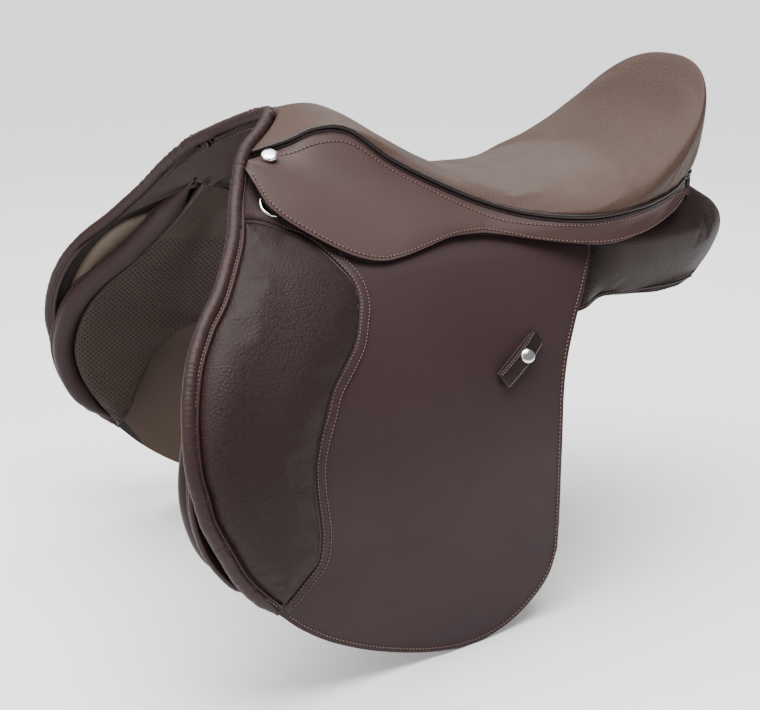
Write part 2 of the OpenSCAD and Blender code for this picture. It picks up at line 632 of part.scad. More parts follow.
tree();
gullet_plate();
gullet_screws();
stirrup_bar_left();
stirrup_bar_right();
stirrup_bar_rivets();
seat_webbing();
seat_foam();
seat_cover();
seat_welt();
skirt_top_left();
skirt_top_right();
cantle_facing();
pommel_binding();
gullet_lining();
head_nails();
flap_top_left();
flap_top_right();
panel_left();
panel_right();
panel_fill_left();
panel_fill_right();
panel_roll_left();
panel_roll_right();
sweat_flap_left();
sweat_flap_right();
knee_block_left();
knee_block_right();
girth_web_left();
girth_web_right();
ring_strap_left();
ring_strap_right();
skirt_left();
skirt_right();
flap_left();
flap_right();
knee_pad_left();
knee_pad_right();
pad_border_left();
pad_border_right();
flap_binding_left();
flap_binding_right();
keeper_left();
keeper_right();
keeper_stud_left();
keeper_stud_right();
front_ring_left();
front_ring_right();
bar_catch_left();
bar_catch_right();
girth_strap_front_left();
girth_strap_mid_left();
girth_strap_rear_left();
girth_strap_front_right();
girth_strap_mid_right();
girth_strap_rear_right();
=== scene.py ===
import math

import bpy
import numpy as np
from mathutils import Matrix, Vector


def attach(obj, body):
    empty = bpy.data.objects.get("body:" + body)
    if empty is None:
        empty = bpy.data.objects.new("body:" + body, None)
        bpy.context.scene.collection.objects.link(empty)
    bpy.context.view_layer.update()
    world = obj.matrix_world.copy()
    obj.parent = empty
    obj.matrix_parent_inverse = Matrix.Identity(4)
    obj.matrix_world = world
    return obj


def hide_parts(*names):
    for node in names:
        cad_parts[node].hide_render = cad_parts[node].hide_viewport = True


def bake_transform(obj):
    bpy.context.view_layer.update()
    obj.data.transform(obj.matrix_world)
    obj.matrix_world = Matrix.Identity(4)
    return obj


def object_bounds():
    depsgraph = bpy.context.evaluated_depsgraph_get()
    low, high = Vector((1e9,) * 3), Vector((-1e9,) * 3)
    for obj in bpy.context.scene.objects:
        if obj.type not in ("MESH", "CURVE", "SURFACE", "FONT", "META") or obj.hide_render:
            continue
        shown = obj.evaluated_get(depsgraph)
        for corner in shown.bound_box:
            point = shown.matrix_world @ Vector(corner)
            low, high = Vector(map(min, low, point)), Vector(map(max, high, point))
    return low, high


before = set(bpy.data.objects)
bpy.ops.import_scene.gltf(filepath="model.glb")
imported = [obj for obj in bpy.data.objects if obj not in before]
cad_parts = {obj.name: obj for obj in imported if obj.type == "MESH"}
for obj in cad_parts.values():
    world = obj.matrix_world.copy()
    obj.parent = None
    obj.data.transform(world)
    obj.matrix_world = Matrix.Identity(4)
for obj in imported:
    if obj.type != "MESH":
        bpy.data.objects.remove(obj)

CAD_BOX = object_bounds()
REST_Z = 280.0

# ---- Curves: millimetres, heights counted from the lowest edge of the flaps ----


def mix(a, b, t):
    return a + (b - a) * t


def smooth(a, b, x):
    t = np.clip((x - a) / (b - a), 0, 1)
    return t * t * (3 - 2 * t)


def spline(P, t):
    """Points at t (0 to 1) on a smooth curve through P."""
    P = np.asarray(P, float)
    t = np.clip(np.asarray(t, float), 0, 1)
    n = len(P) - 1
    s = t * n
    i = np.minimum(np.floor(s).astype(int), n - 1)
    f = (s - i)[..., None] if P.ndim > 1 else s - i
    k = (lambda m: m[..., None]) if P.ndim > 1 else (lambda m: m)
    b, c = P[i], P[i + 1]
    a = np.where(k(i > 0), P[np.maximum(i - 1, 0)], 2 * b - c)
    d = np.where(k(i + 2 > n), 2 * c - b, P[np.minimum(i + 2, n)])
    return b + 0.5 * f * ((c - a) + f * ((2 * a - 5 * b + 4 * c - d) + f * (3 * (b - c) + d - a)))


def unit(v):
    v = np.asarray(v, float)
    return v / np.maximum(np.linalg.norm(v, axis=-1, keepdims=True), 1e-9)


def beside(P, t, d):
    """Points at t on the curve through P, moved sideways in its plane by d."""
    t = np.asarray(t, float)
    q = unit(spline(P, t + 0.01) - spline(P, t - 0.01))
    return spline(P, t) + np.asarray(d)[..., None] * np.stack([-q[..., 1], q[..., 0]], -1)


def side(x, z):
    """Half width of the saddle at the outside of the flaps."""
    return 195 * (1 - (np.maximum(z - 140, 0) / 310) ** 2.2) * (1 - 0.001 * (x + 50))


def on_side(p, d):
    """Points (x, z) put on the outside of the left flap, d further out."""
    p = np.asarray(p, float)
    return np.stack([p[..., 0], -side(p[..., 0], p[..., 1]) - d, p[..., 1]], -1)


def run_length(P):
    """Distance from the start of a line to each of its points."""
    return np.concatenate([[0], np.cumsum(np.linalg.norm(np.diff(P, axis=0), axis=1))])


def relax(P, rounds):
    """Smooths a line in place, its ends held."""
    for _ in range(rounds):
        P[1:-1] = (P[:-2] + 2 * P[1:-1] + P[2:]) / 4


def resample(P, n):
    """The same line with n points at equal distances."""
    P = np.asarray(P, float)
    s = run_length(P)
    q = np.linspace(0, s[-1], n)
    return np.stack([np.interp(q, s, P[:, k]) for k in range(P.shape[1])], -1)


SEAT_MID = [[-147, 437], [-117, 441], [-91, 432], [-60, 412], [-22, 391], [15, 376],
            [60, 369], [111, 373], [162, 387], [211, 419], [244, 453], [258, 471],
            [261, 452], [255, 415], [241, 375]]
SEAT_IN = [[0, -1]] * 9 + [[0.1, -1], [0, -0.9], [-0.5, -0.9], [-0.9, -0.3], [-0.9, 0], [-0.9, 0]]
SEAT_SEAM = [[-192, -50, 411], [-160, -59, 421], [-136, -62, 430], [-108, -65, 428],
             [-74, -75, 403], [-36, -86, 382], [4, -100, 364], [45, -117, 353],
             [94, -131, 349], [140, -131, 353], [172, -122, 358], [194, -112, 363],
             [203, -106, 366], [210, -102, 369], [215, -97, 372]]
SEAT_SQUARE = [1.35, 1.6, 2, 2.3, 2.4, 2.4, 2.4, 2.4, 2.5, 2.6, 2.5, 2.4, 2.3, 2.2, 2.2]


def seat(u, t, d=0.0):
    """Seat surface: u from pommel to cantle, t from side to side, d below the surface."""
    u, t = np.broadcast_arrays(np.asarray(u, float), np.asarray(t, float))
    m = spline(SEAT_MID, u) + d * spline(SEAT_IN, u)
    s = spline(SEAT_SEAM, u) + d * np.array([-0.1, 0.9, -0.3])
    n = spline(np.array(SEAT_SQUARE), u)
    h = np.maximum(1 - np.abs(t) ** n, 0) ** (1 / n)
    x, z = mix(s[..., 0], m[..., 0], h), mix(s[..., 2], m[..., 1], h)
    return np.stack([x, -s[..., 1] * t, z], -1)


FLAP_FRONT = [[-204, 413], [-214, 398], [-225, 381], [-235, 361], [-247, 344], [-262, 325],
              [-279, 308], [-296, 283], [-307, 250], [-310, 215], [-306, 190], [-302, 172],
              [-290, 146], [-277, 121], [-261, 101], [-245, 84]]
FLAP_FRONT_TOP = FLAP_FRONT[:5] + [[-260, 328]]
FLAP_FRONT_LOW = FLAP_FRONT[5:10] + FLAP_FRONT[11::2]
FLAP_BOTTOM = [[-241, 87], [-220, 67], [-190, 46], [-145, 24], [-90, 6], [-47, 1], [-12, 8],
               [15, 23], [33, 41], [42, 64]]
FLAP_REAR = [[42, 64], [43, 105], [43, 152], [46, 199], [54, 232], [69, 262], [86, 288],
             [103, 316]]
FLAP_TOP_EDGE = [[-202, 398], [-150, 391], [-100, 381], [-50, 363], [0, 346], [50, 337],
                 [103, 333]]
BEND_A = np.array([-255, -161.5, 327])
BEND_B = np.array([104, -119.5, 318])
LIFT_A = np.array([-200, -74, 407.0])
LIFT_B = np.array([-8, -118, 344.0])
SKIRT_EDGE = [[-204, -80, 403], [-201, -95, 391], [-197, -109, 379], [-186, -121, 367],
              [-160, -133, 350], [-135, -140, 337], [-112, -141, 331], [-90, -137, 332],
              [-65, -130, 336], [-38, -123, 341], [-8, -120, 341]]
BAND_EDGE = [[-8, -120, 341], [14, -121, 337], [42, -125, 331], [82, -132, 325],
             [111, -135, 324], [138, -133, 327], [165, -125, 332], [195, -114, 343],
             [214, -103, 355]]
PAD_SEAM = [[-222, 366], [-203, 363], [-186, 357], [-170, 350], [-159, 340], [-150, 329],
            [-143, 318], [-142, 306], [-147, 293], [-154, 279], [-167, 265], [-181, 251],
            [-191, 233], [-200, 216], [-206, 197], [-207, 177], [-205, 155], [-204, 140],
            [-207, 123], [-216, 114], [-227, 104], [-241, 93]]
ROLL_FRONT = [[-206, 372], [-212, 354], [-226, 326], [-248, 294], [-278, 262], [-298, 228],
              [-307, 188], [-300, 150], [-281, 119], [-256, 97]]
PANEL_TOP = [[-188, 371], [-164, 362], [-120, 340], [-60, 329], [0, 324], [60, 324],
             [120, 332], [180, 340], [216, 350], [246, 353]]
PANEL_LOW = [[-250, 100], [-238, 116], [-226, 148], [-206, 188], [-160, 214], [-90, 234],
             [0, 252], [100, 264], [160, 263], [192, 261], [222, 263]]
PANEL_END = [[222, 263], [252, 272], [276, 288], [290, 308], [283, 331], [246, 353]]
BIND_R = 5.5    # rolled binding
ROLL_R = 9.0    # front roll of a panel
SWEAT_D = 17.0  # flap to sweat flap
SWEAT_T = 3.0   # sweat flap
PANEL_T = 26.0  # panel in front of the girth


def bend_z(x):
    """Height of the line along which a flap bends."""
    return mix(BEND_A[2], BEND_B[2], (x - BEND_A[0]) / (BEND_B[0] - BEND_A[0]))


def patch(b, t, f, r, u, v):
    """Surface between four curves given as arrays: b and t over u, f and r over v."""
    u, v = u[:, None, None], v[None, :, None]
    b, t, f, r = b[:, None], t[:, None], f[None], r[None]
    corners = mix(mix(b[:1], b[-1:], u), mix(t[:1], t[-1:], u), v)
    return mix(b, t, v) + mix(f, r, u) - corners


# ---- Meshes ----


def make(name, verts, faces, mat, uv=None, mirror=False, mats=None, face_mat=None):
    """Smooth mesh from millimetres; mirror makes the right-hand copy of a left-hand shape."""
    V = np.array(verts, float).reshape(-1, 3)
    if mirror:
        V = V * [1, -1, 1]
        faces = [f[::-1] for f in faces]
    V = (V - [0, 0, REST_Z]) / 1000.0
    me = bpy.data.meshes.new(name)
    me.from_pydata(V.tolist(), [], [tuple(map(int, f)) for f in faces])
    if uv is not None:
        layer = me.uv_layers.new(name="flat")
        loops = np.empty(len(me.loops), int)
        me.loops.foreach_get("vertex_index", loops)
        layer.data.foreach_set("uv", np.asarray(uv, float).reshape(-1, 2)[loops].ravel())
    me.polygons.foreach_set("use_smooth", [True] * len(me.polygons))
    for m in (mats or [mat]):
        me.materials.append(m)
    if face_mat is not None:
        me.polygons.foreach_set("material_index", list(face_mat))
    me.validate()
    me.update()
    obj = bpy.data.objects.new(name, me)
    bpy.context.scene.collection.objects.link(obj)
    return obj


def settle(obj):
    """Applies the object's modifiers."""
    deps = bpy.context.evaluated_depsgraph_get()
    me = bpy.data.meshes.new_from_object(obj.evaluated_get(deps))
    obj.modifiers.clear()
    obj.data = me
    return obj


def bevel(obj, width):
    """Rounds the cut edges of a sheet."""
    b = obj.modifiers.new("rim", "BEVEL")
    b.width, b.segments, b.limit_method = width / 1000, 3, "ANGLE"
    b.angle_limit = math.radians(50)
    b.harden_normals = False
    return settle(obj)


def grid_faces(nu, nv, off=0, flip=False):
    corners = [off + i * nv + j for i in range(nu - 1) for j in range(nv - 1)]
    q = [(k, k + nv, k + nv + 1, k + 1) for k in corners]
    return [f[::-1] for f in q] if flip else q


def grid_normals(P, hint):
    """Unit normals of a grid, on the side that hint points to."""
    du = np.gradient(P, axis=0)
    dv = np.gradient(P, axis=1)
    n = unit(np.cross(du, dv))
    s = np.sign(np.sum(n * np.asarray(hint, float), -1, keepdims=True))
    s[s == 0] = 1
    return n * s


def grid_uv(P):
    """Distances along a grid's two directions, in metres."""
    du = np.zeros(P.shape[:2])
    du[1:] = np.cumsum(np.linalg.norm(np.diff(P, axis=0), axis=2), 0)
    dv = np.zeros(P.shape[:2])
    dv[:, 1:] = np.cumsum(np.linalg.norm(np.diff(P, axis=1), axis=2), 1)
    return np.stack([du.mean(1)[:, None] + 0 * dv, dv], -1) / 1000


def sheet_data(P, Q):
    """Closed solid between two grids: P outside, Q inside."""
    nu, nv = P.shape[:2]
    m = nu * nv
    i, j = nu // 2, nv // 2
    a, b = P[i, j] - P[i - 1, j], P[i, j] - P[i, j - 1]
    outward = np.dot(np.cross(a, b), P[i, j] - Q[i, j]) > 0
    F = grid_faces(nu, nv, 0, not outward) + grid_faces(nu, nv, m, outward)
    rim = [i * nv for i in range(nu)] + [(nu - 1) * nv + j for j in range(1, nv)]
    rim += [i * nv + nv - 1 for i in range(nu - 2, -1, -1)] + [j for j in range(nv - 2, 0, -1)]
    for k, p in enumerate(rim):
        q = rim[(k + 1) % len(rim)]
        F.append((p, m + p, m + q, q) if not outward else (p, q, m + q, m + p)[::-1])
    return np.concatenate([P.reshape(-1, 3), Q.reshape(-1, 3)]), F


def shell(name, P, thick, hint, mat, mirror=False, rim=0.9, dark=None, mats=None):
    """Sheet of leather: P is its outer face, thick its thickness, hint the way out."""
    N = grid_normals(P, hint)
    Q = P - N * (thick if np.ndim(thick) == 0 else np.asarray(thick)[..., None])
    V, F = sheet_data(P, Q)
    uv = grid_uv(P).reshape(-1, 2)
    fm = None
    if mats:
        k = (P.shape[0] - 1) * (P.shape[1] - 1)
        # Inner faces under dark take slot 3, which the flaps use for painted shade.
        within = [1] * k if dark is None else np.where(dark[:-1, :-1].ravel(), 3, 1).tolist()
        fm = [0] * k + within + [2] * (len(F) - 2 * k)
    obj = make(name, V, F, mat, np.concatenate([uv, uv]), mirror, mats=mats, face_mat=fm)
    return bevel(obj, rim) if rim else obj


def frames(P, ref):
    """Direction, side and up vectors along a line; the side stays close to ref."""
    T = unit(np.gradient(P, axis=0))
    A = unit(ref - T * np.sum(ref * T, -1, keepdims=True))
    return T, A, np.cross(T, A)


def tube(name, P, r, mat, ref=(0, 1, 0), seg=14, mirror=False, squashed=1.0, wrinkle=None):
    """Round roll along P. wrinkle is added to its radius, and squashed flattens it."""
    P = np.asarray(P, float)
    ref = np.broadcast_to(np.asarray(ref, float), P.shape)
    T, A, B = frames(P, ref)
    ang = np.linspace(0, 2 * np.pi, seg, endpoint=False)
    R = np.broadcast_to(np.asarray(r, float).reshape(-1, 1), (len(P), seg)).copy()
    if wrinkle is not None:
        R = R + wrinkle
    across, up = np.cos(ang) * R, np.sin(ang) * R * squashed
    V = P[:, None] + A[:, None] * across[..., None] + B[:, None] * up[..., None]
    n = len(P)
    F = [(i * seg + j, i * seg + (j + 1) % seg, (i + 1) * seg + (j + 1) % seg, (i + 1) * seg + j)
         for i in range(n - 1) for j in range(seg)]
    V = V.reshape(-1, 3)
    for end in (0, n - 1):
        ring = [end * seg + j for j in range(seg)]
        c = V[ring].mean(0)
        tip = c + T[end] * (1 if end else -1) * np.mean(R[end]) * 0.35
        inner = c + (V[ring] - c) * 0.7 + (tip - c) * 0.7
        base = len(V)
        V = np.concatenate([V, inner, [tip]])
        for j in range(seg):
            a, b = ring[j], ring[(j + 1) % seg]
            p, q = base + j, base + (j + 1) % seg
            quad, tri = (a, p, q, b), (p, base + seg, q)
            F += [quad[::-1], tri[::-1]] if end else [quad, tri]
    s = run_length(P) / 1000
    uv = np.stack(np.broadcast_arrays(s[:, None], np.mean(R) * ang[None] / 1000), -1).reshape(-1, 2)
    uv = np.concatenate([uv, np.zeros((len(V) - len(uv), 2))])
    return make(name, V, F, mat, uv, mirror)


def ends(n, first, last):
    """Radius factor of a roll that thins out towards its two ends."""
    s = np.linspace(0, 1, n)
    return 0.12 + 0.88 * smooth(0, first, s) * (1 - smooth(1 - last, 1, s))


def plump(V, F, held, pressure, grow, cap, bend, last_frame=20):
    """Cloth pushed out by pressure from inside, held at some vertices; moves at most cap mm."""
    V = np.asarray(V, float).reshape(-1, 3)
    o = make("cloth_form", V, F, None)
    g = o.vertex_groups.new(name="held")
    g.add([int(i) for i in np.flatnonzero(held)], 1.0, "REPLACE")
    m = o.modifiers.new("cloth", "CLOTH")
    c = m.settings
    c.quality, c.mass, c.air_damping = 6, 0.4, 4.0
    c.tension_stiffness = c.compression_stiffness = 25
    c.shear_stiffness, c.bending_stiffness = 12, bend
    c.tension_damping = c.compression_damping = c.shear_damping = 20
    c.vertex_group_mass = "held"
    c.use_pressure, c.uniform_pressure_force = True, pressure
    c.shrink_min = -grow
    c.effector_weights.gravity = 0
    m.collision_settings.use_collision = False
    m.point_cache.frame_start, m.point_cache.frame_end = 1, last_frame
    scene = bpy.context.scene
    for k in range(1, last_frame + 1):
        scene.frame_set(k)
    deps = bpy.context.evaluated_depsgraph_get()
    me = o.evaluated_get(deps).to_mesh()
    W = np.empty(len(me.vertices) * 3)
    me.vertices.foreach_get("co", W)
    W = W.reshape(-1, 3) * 1000 + [0, 0, REST_Z]
    data = o.data
    bpy.data.objects.remove(o)
    bpy.data.meshes.remove(data)
    scene.frame_set(1)
    d = np.nan_to_num(W - V)
    size = np.linalg.norm(d, axis=1, keepdims=True)
    d = d / (1 + size / cap)
    kept = np.linalg.norm(d, axis=1).max()
    print("cloth moved %.1f mm, kept %.1f mm" % (size.max(), kept))
    return V + d


def on_border(nu, nv):
    """True on the border of a grid."""
    m = np.zeros((nu, nv), bool)
    m[:, [0, -1]] = m[0] = m[-1] = True
    return m


def hash_noise(x, seed=0):
    """Smooth one-dimensional noise from -1 to 1."""
    x = np.asarray(x, float)
    i = np.floor(x).astype(int)
    f = x - i
    f = f * f * (3 - 2 * f)

    def h(k):
        v = np.sin((k + seed * 57) * 127.1) * 43758.5453
        return 2 * (v - np.floor(v)) - 1

    return mix(h(i), h(i + 1), f)


def wave(x, y, seed=0):
    """Smooth two-dimensional noise from -1 to 1, from sums of waves."""
    out = 0
    for k in range(6):
        a = 0.7 + seed + k * 2.3
        along, over = x * math.cos(a) * (1 + 0.23 * k), y * math.sin(a) * (1 + 0.31 * k)
        out = out + np.sin(along + over + 1.7 * a)
    return out / 4


def stitch(name, paths, mirror=False, pitch=3.6, long=2.1, wide=1.05, proud=0.3):
    """Rows of stitches along (points, normals): a thread and a needle hole in turn; each hole is a
    near-black bead, painted shade of the hole.
    """
    rings, seg = 4, 6
    ang = np.linspace(0, 2 * np.pi, seg, endpoint=False)
    V, F, M = [], [], []
    for pts, nrm in paths:
        pts = np.asarray(pts, float)
        s = run_length(pts)
        n = max(int(s[-1] / pitch), 1)
        q = (np.arange(2 * n) + 0.5) * s[-1] / (2 * n)
        C = np.stack([np.interp(q, s, pts[:, k]) for k in range(3)], -1)
        nrm = np.broadcast_to(np.asarray(nrm, float), pts.shape)
        N = unit(np.stack([np.interp(q, s, nrm[:, k]) for k in range(3)], -1))
        T = unit(np.gradient(C, axis=0))
        N = unit(N - T * np.sum(N * T, -1, keepdims=True))
        B = np.cross(T, N)
        for k in range(2 * n):
            hole = k % 2
            L, W, H = (0.75, 0.7, 0.35) if hole else (long / 2, wide / 2, wide / 2)
            c = C[k] + N[k] * (0.06 if hole else proud)
            t = unit(T[k] + (0 if hole else 0.16) * B[k])
            b = np.cross(t, N[k])
            base = len(V)
            for i in range(rings):
                a = math.pi * (i + 0.6) / (rings + 0.2)
                x, w = -math.cos(a) * L, math.sin(a) ** 0.6
                for g in ang:
                    V.append(c + t * x + b * (math.cos(g) * W * w) + N[k] * (math.sin(g) * H * w))
            for i in range(rings - 1):
                for j in range(seg):
                    F.append((base + i * seg + j, base + i * seg + (j + 1) % seg,
                              base + (i + 1) * seg + (j + 1) % seg, base + (i + 1) * seg + j))
                    M.append(hole)
            F.append(tuple(base + j for j in range(seg))[::-1])
            F.append(tuple(base + (rings - 1) * seg + j for j in range(seg)))
            M += [hole, hole]
    return make(name, np.array(V), F, None, None, mirror, mats=[THREAD, HOLE_SHADE], face_mat=M)


# ---- Materials ----


def srgb(r, g, b):
    def f(c):
        c /= 255
        return c / 12.92 if c <= 0.04045 else ((c + 0.055) / 1.055) ** 2.4
    return (f(r), f(g), f(b), 1)


class Nodes:
    """A material and short calls for its nodes."""

    def __init__(self, name):
        self.mat = bpy.data.materials.new(name)
        self.mat.use_nodes = True
        self.t = self.mat.node_tree
        self.t.nodes.clear()
        self.bsdf = self.new("BsdfPrincipled")
        self.new("OutputMaterial", Surface=self.bsdf.outputs[0])
        self.co = self.new("TexCoord")

    def put(self, socket, value):
        if isinstance(value, bpy.types.NodeSocket):
            self.t.links.new(value, socket)
        else:
            socket.default_value = value

    def new(self, kind, **values):
        """A node with the inputs named in values set or linked."""
        n = self.t.nodes.new("ShaderNode" + kind)
        for key, value in values.items():
            self.put(n.inputs[key], value)
        return n

    def math(self, op, a, b=0.0, c=None):
        n = self.new("Math")
        n.operation = op
        for s, v in zip(n.inputs, (a, b) if c is None else (a, b, c)):
            self.put(s, v)
        return n.outputs[0]

    def noise(self, scale, detail=3.0, rough=0.55, distort=0.0):
        return self.new("TexNoise", Scale=scale, Detail=detail, Roughness=rough,
                        Distortion=distort, Vector=self.co.outputs["Object"]).outputs[0]

    def voronoi(self, scale, vec, random=1.0):
        n = self.new("TexVoronoi", Scale=scale, Randomness=random, Vector=vec)
        return n.outputs["Distance"]

    def warped(self, scale, amount):
        """Object coordinates moved a little by noise."""
        place = self.co.outputs["Object"]
        push, moved = self.new("VectorMath"), self.new("VectorMath")
        push.operation, moved.operation = "SCALE", "ADD"
        self.put(push.inputs[0], self.new("TexNoise", Scale=scale, Vector=place).outputs["Color"])
        self.put(push.inputs["Scale"], amount)
        self.put(moved.inputs[0], place)
        self.put(moved.inputs[1], push.outputs[0])
        return moved.outputs[0]

    def ramp(self, fac, a, b, lo=0.0, hi=1.0):
        n = self.new("MapRange", Value=fac)
        for key, value in (("From Min", lo), ("From Max", hi), ("To Min", a), ("To Max", b)):
            n.inputs[key].default_value = value
        return n.outputs[0]

    def blend(self, fac, a, b):
        n = self.new("Mix")
        n.data_type = "RGBA"
        for k, value in ((0, fac), (6, a), (7, b)):
            self.put(n.inputs[k], value)
        return n.outputs[2]

    def bump(self, height, distance, strength=1.0, normal=None):
        n = self.new("Bump", Strength=strength, Distance=distance, Height=height)
        if normal is not None:
            self.put(n.inputs["Normal"], normal)
        return n.outputs[0]

    def pointy(self, lo, hi):
        """0 to 1 from flat places to sharp edges, or to creases when hi is below lo."""
        return self.ramp(self.new("NewGeometry").outputs["Pointiness"], 0, 1, lo, hi)


def scaled(c, k):
    return tuple(min(v * k, 1) for v in c[:3]) + (1,)


def leather(name, color, cell=1.4, depth=0.25, rough=0.5, worn=0.25, crease=0.35, sheen=0.1,
            holes=None, nap=0.0, spec=0.36):
    """Tanned leather: grain with cells and a depth in millimetres, roughness, wear on edges,
    darker creases, sheen. holes is (pitch, radius, lowest, highest) of perforations."""
    n = Nodes(name)
    co = n.warped(140, 0.0005)
    pebble = n.voronoi(1000 / cell, co)
    fine = n.noise(2600 / cell, 2, 0.6)
    pores = n.voronoi(2300 / cell, co)
    mottle = n.noise(22, 4, 0.6, distort=0.6)
    broad = n.noise(6, 2, 0.5)
    valley = n.ramp(pebble, 0, 1, 0.35, 0.85)
    col = n.blend(n.math("MULTIPLY", valley, crease), color, scaled(color, 0.45))
    col = n.blend(n.ramp(mottle, 0, 0.5, 0.35, 0.75), col, scaled(color, 0.78))
    col = n.blend(n.ramp(broad, 0, 0.35, 0.35, 0.7), col, scaled(color, 1.22))
    col = n.blend(n.math("MULTIPLY", n.pointy(0.505, 0.56), worn), col, scaled(color, 1.9))
    # Painted shade: colour darkened in the mesh's concave creases and folds, where shade falls.
    col = n.blend(n.math("MULTIPLY", n.pointy(0.495, 0.44), 0.6), col, scaled(color, 0.35))
    height = n.math("SUBTRACT", 1.0, n.ramp(pebble, 0, 1, 0.1, 0.8))
    height = n.math("MULTIPLY_ADD", fine, 0.1, height)
    height = n.math("MULTIPLY_ADD", n.ramp(pores, 0, 1, 0.0, 0.25), 0.08, height)
    normal = n.bump(height, depth / 1000)
    normal = n.bump(n.noise(850 / cell, 2), depth * 0.5 / 1000, 0.3, normal)
    roughness = n.math("MULTIPLY_ADD", mottle, 0.16, rough - 0.08)
    if holes:
        pitch, radius, low, high = holes
        uv = n.new("Mapping", Rotation=(0, 0, math.radians(45)), Vector=n.co.outputs["UV"])
        d = n.voronoi(1000 / pitch, uv.outputs[0], 0.0)
        z = n.new("SeparateXYZ", Vector=n.co.outputs["Object"])
        here = n.ramp(z.outputs["Z"], 1, 0, high - 0.002, high + 0.002)
        dot = n.math("MULTIPLY", n.ramp(d, 1, 0, radius * 0.75, radius * 1.05), here)
        # Painted shade: each perforation is painted near-black for the shade inside the hole.
        col = n.blend(dot, col, (0.006, 0.005, 0.005, 1))
        normal = n.bump(n.math("SUBTRACT", 1.0, dot), 0.0006, 0.9, normal)
        roughness = n.math("MAXIMUM", roughness, n.math("MULTIPLY", dot, 0.9))
    if nap:
        fuzz = n.noise(900, 4, 0.7)
        col = n.blend(n.math("MULTIPLY", fuzz, nap), col, scaled(color, 1.35))
    looks = {"Base Color": col, "Roughness": roughness, "Normal": normal,
             "Specular IOR Level": spec, "Sheen Weight": sheen, "Sheen Roughness": 0.45,
             "Sheen Tint": scaled(color, 3)}
    for key, value in looks.items():
        n.put(n.bsdf.inputs[key], value)
    return n.mat


def metal(name, color, rough, brushed=0.0, scratch=0.04):
    """Worn metal with smudges and fine scratches."""
    n = Nodes(name)
    b = n.bsdf.inputs
    streak = n.noise(900, 2, 0.6)
    smudge = n.noise(60, 3)
    n.put(b["Base Color"], n.blend(n.ramp(smudge, 0, 0.3, 0.3, 0.7), color, scaled(color, 0.8)))
    n.put(b["Roughness"], n.math("MULTIPLY_ADD", smudge, 0.15, rough - 0.05))
    n.put(b["Normal"], n.bump(streak, scratch / 1000, 0.35 + brushed))
    b["Metallic"].default_value = 1.0
    return n.mat


def woven(name, color, pitch):
    """Plain weave with threads at the given pitch in millimetres."""
    n = Nodes(name)
    sep = n.new("SeparateXYZ", Vector=n.co.outputs["Object"])
    k = 2 * math.pi * 1000 / pitch
    a = n.math("SINE", n.math("MULTIPLY", sep.outputs["X"], k))
    c = n.math("SINE", n.math("MULTIPLY", sep.outputs["Z"], k))
    h = n.math("MULTIPLY", a, c)
    thread = n.blend(n.ramp(h, 0, 1, -1, 1), scaled(color, 0.55), color)
    n.put(n.bsdf.inputs["Base Color"], thread)
    n.put(n.bsdf.inputs["Normal"], n.bump(n.math("ADD", h, n.noise(1500)), 0.0003))
    n.bsdf.inputs["Roughness"].default_value = 0.85
    n.bsdf.inputs["Sheen Weight"].default_value = 0.2
    return n.mat


def plastic(name, color):
    """Moulded or coated surface with a fine texture."""
    n = Nodes(name)
    n.put(n.bsdf.inputs["Base Color"], n.blend(n.noise(40), color, scaled(color, 1.5)))
    n.put(n.bsdf.inputs["Normal"], n.bump(n.noise(700, 3), 0.0002))
    n.put(n.bsdf.inputs["Roughness"], n.ramp(n.noise(120), 0.4, 0.6))
    return n.mat


SEAT = leather("seat_leather", srgb(66, 50, 43), 1.8, 0.22, 0.56, 0.15, 0.35, 0.02, spec=0.17)
SKIRT = leather("skirt_leather", srgb(62, 46, 44), 1.4, 0.07, 0.5, 0.3, 0.16, 0.02, spec=0.2)
FLAP = leather("flap_leather", srgb(50, 36, 38), 1.4, 0.08, 0.52, 0.3, 0.2, 0.02, spec=0.15)
PAD = leather("pad_leather", srgb(39, 27, 26), 1.9, 0.26, 0.56, 0.2, 0.6, 0.01, spec=0.15)
PANEL = leather("panel_leather", srgb(50, 39, 34), 2.0, 0.18, 0.56, 0.15, 0.45, 0.02,
                holes=(3.6, 0.25, 0.0, 0.026), spec=0.16)
GUSSET = leather("gusset_leather", srgb(35, 23, 22), 2.0, 0.32, 0.52, 0.15, 0.5, 0.01, spec=0.17)
ROLL = leather("roll_leather", srgb(42, 28, 29), 1.4, 0.1, 0.5, 0.2, 0.25, 0.02, spec=0.18)
BIND = leather("binding_leather", srgb(42, 27, 27), 1.2, 0.12, 0.48, 0.45, 0.3, 0.02, spec=0.2)
DARK = leather("piping_leather", srgb(27, 17, 16), 0.9, 0.05, 0.38, 0.25, 0.2, 0.01, spec=0.3)
# Lining leather of the gullet, also used as painted shade on the inner face of the flaps.
LINING_AND_SHADE = leather("lining_leather", srgb(26, 18, 17), 1.0, 0.08, 0.6, 0.1, 0.3, 0.02)
UNDER = leather("flesh_side", srgb(74, 62, 55), 0.6, 0.1, 0.8, 0.15, 0.2, 0.12, nap=0.4, spec=0.2)
BLOCK = leather("block_leather", srgb(92, 79, 66), 1.3, 0.35, 0.6, 0.15, 0.45, 0.05)
STRAP = leather("strap_leather", srgb(46, 32, 28), 1.2, 0.07, 0.42, 0.35, 0.25, 0.02, spec=0.28)
KEEPER = leather("keeper_leather", srgb(28, 18, 17), 1.0, 0.08, 0.42, 0.3, 0.2, 0.02, spec=0.26)
EDGE = leather("cut_edge", srgb(26, 16, 15), 0.8, 0.04, 0.38, 0.2, 0.2, 0.0, spec=0.28)
THREAD = leather("stitch_thread", srgb(150, 112, 100), 0.6, 0.05, 0.45, 0.3, 0.4, 0.05)
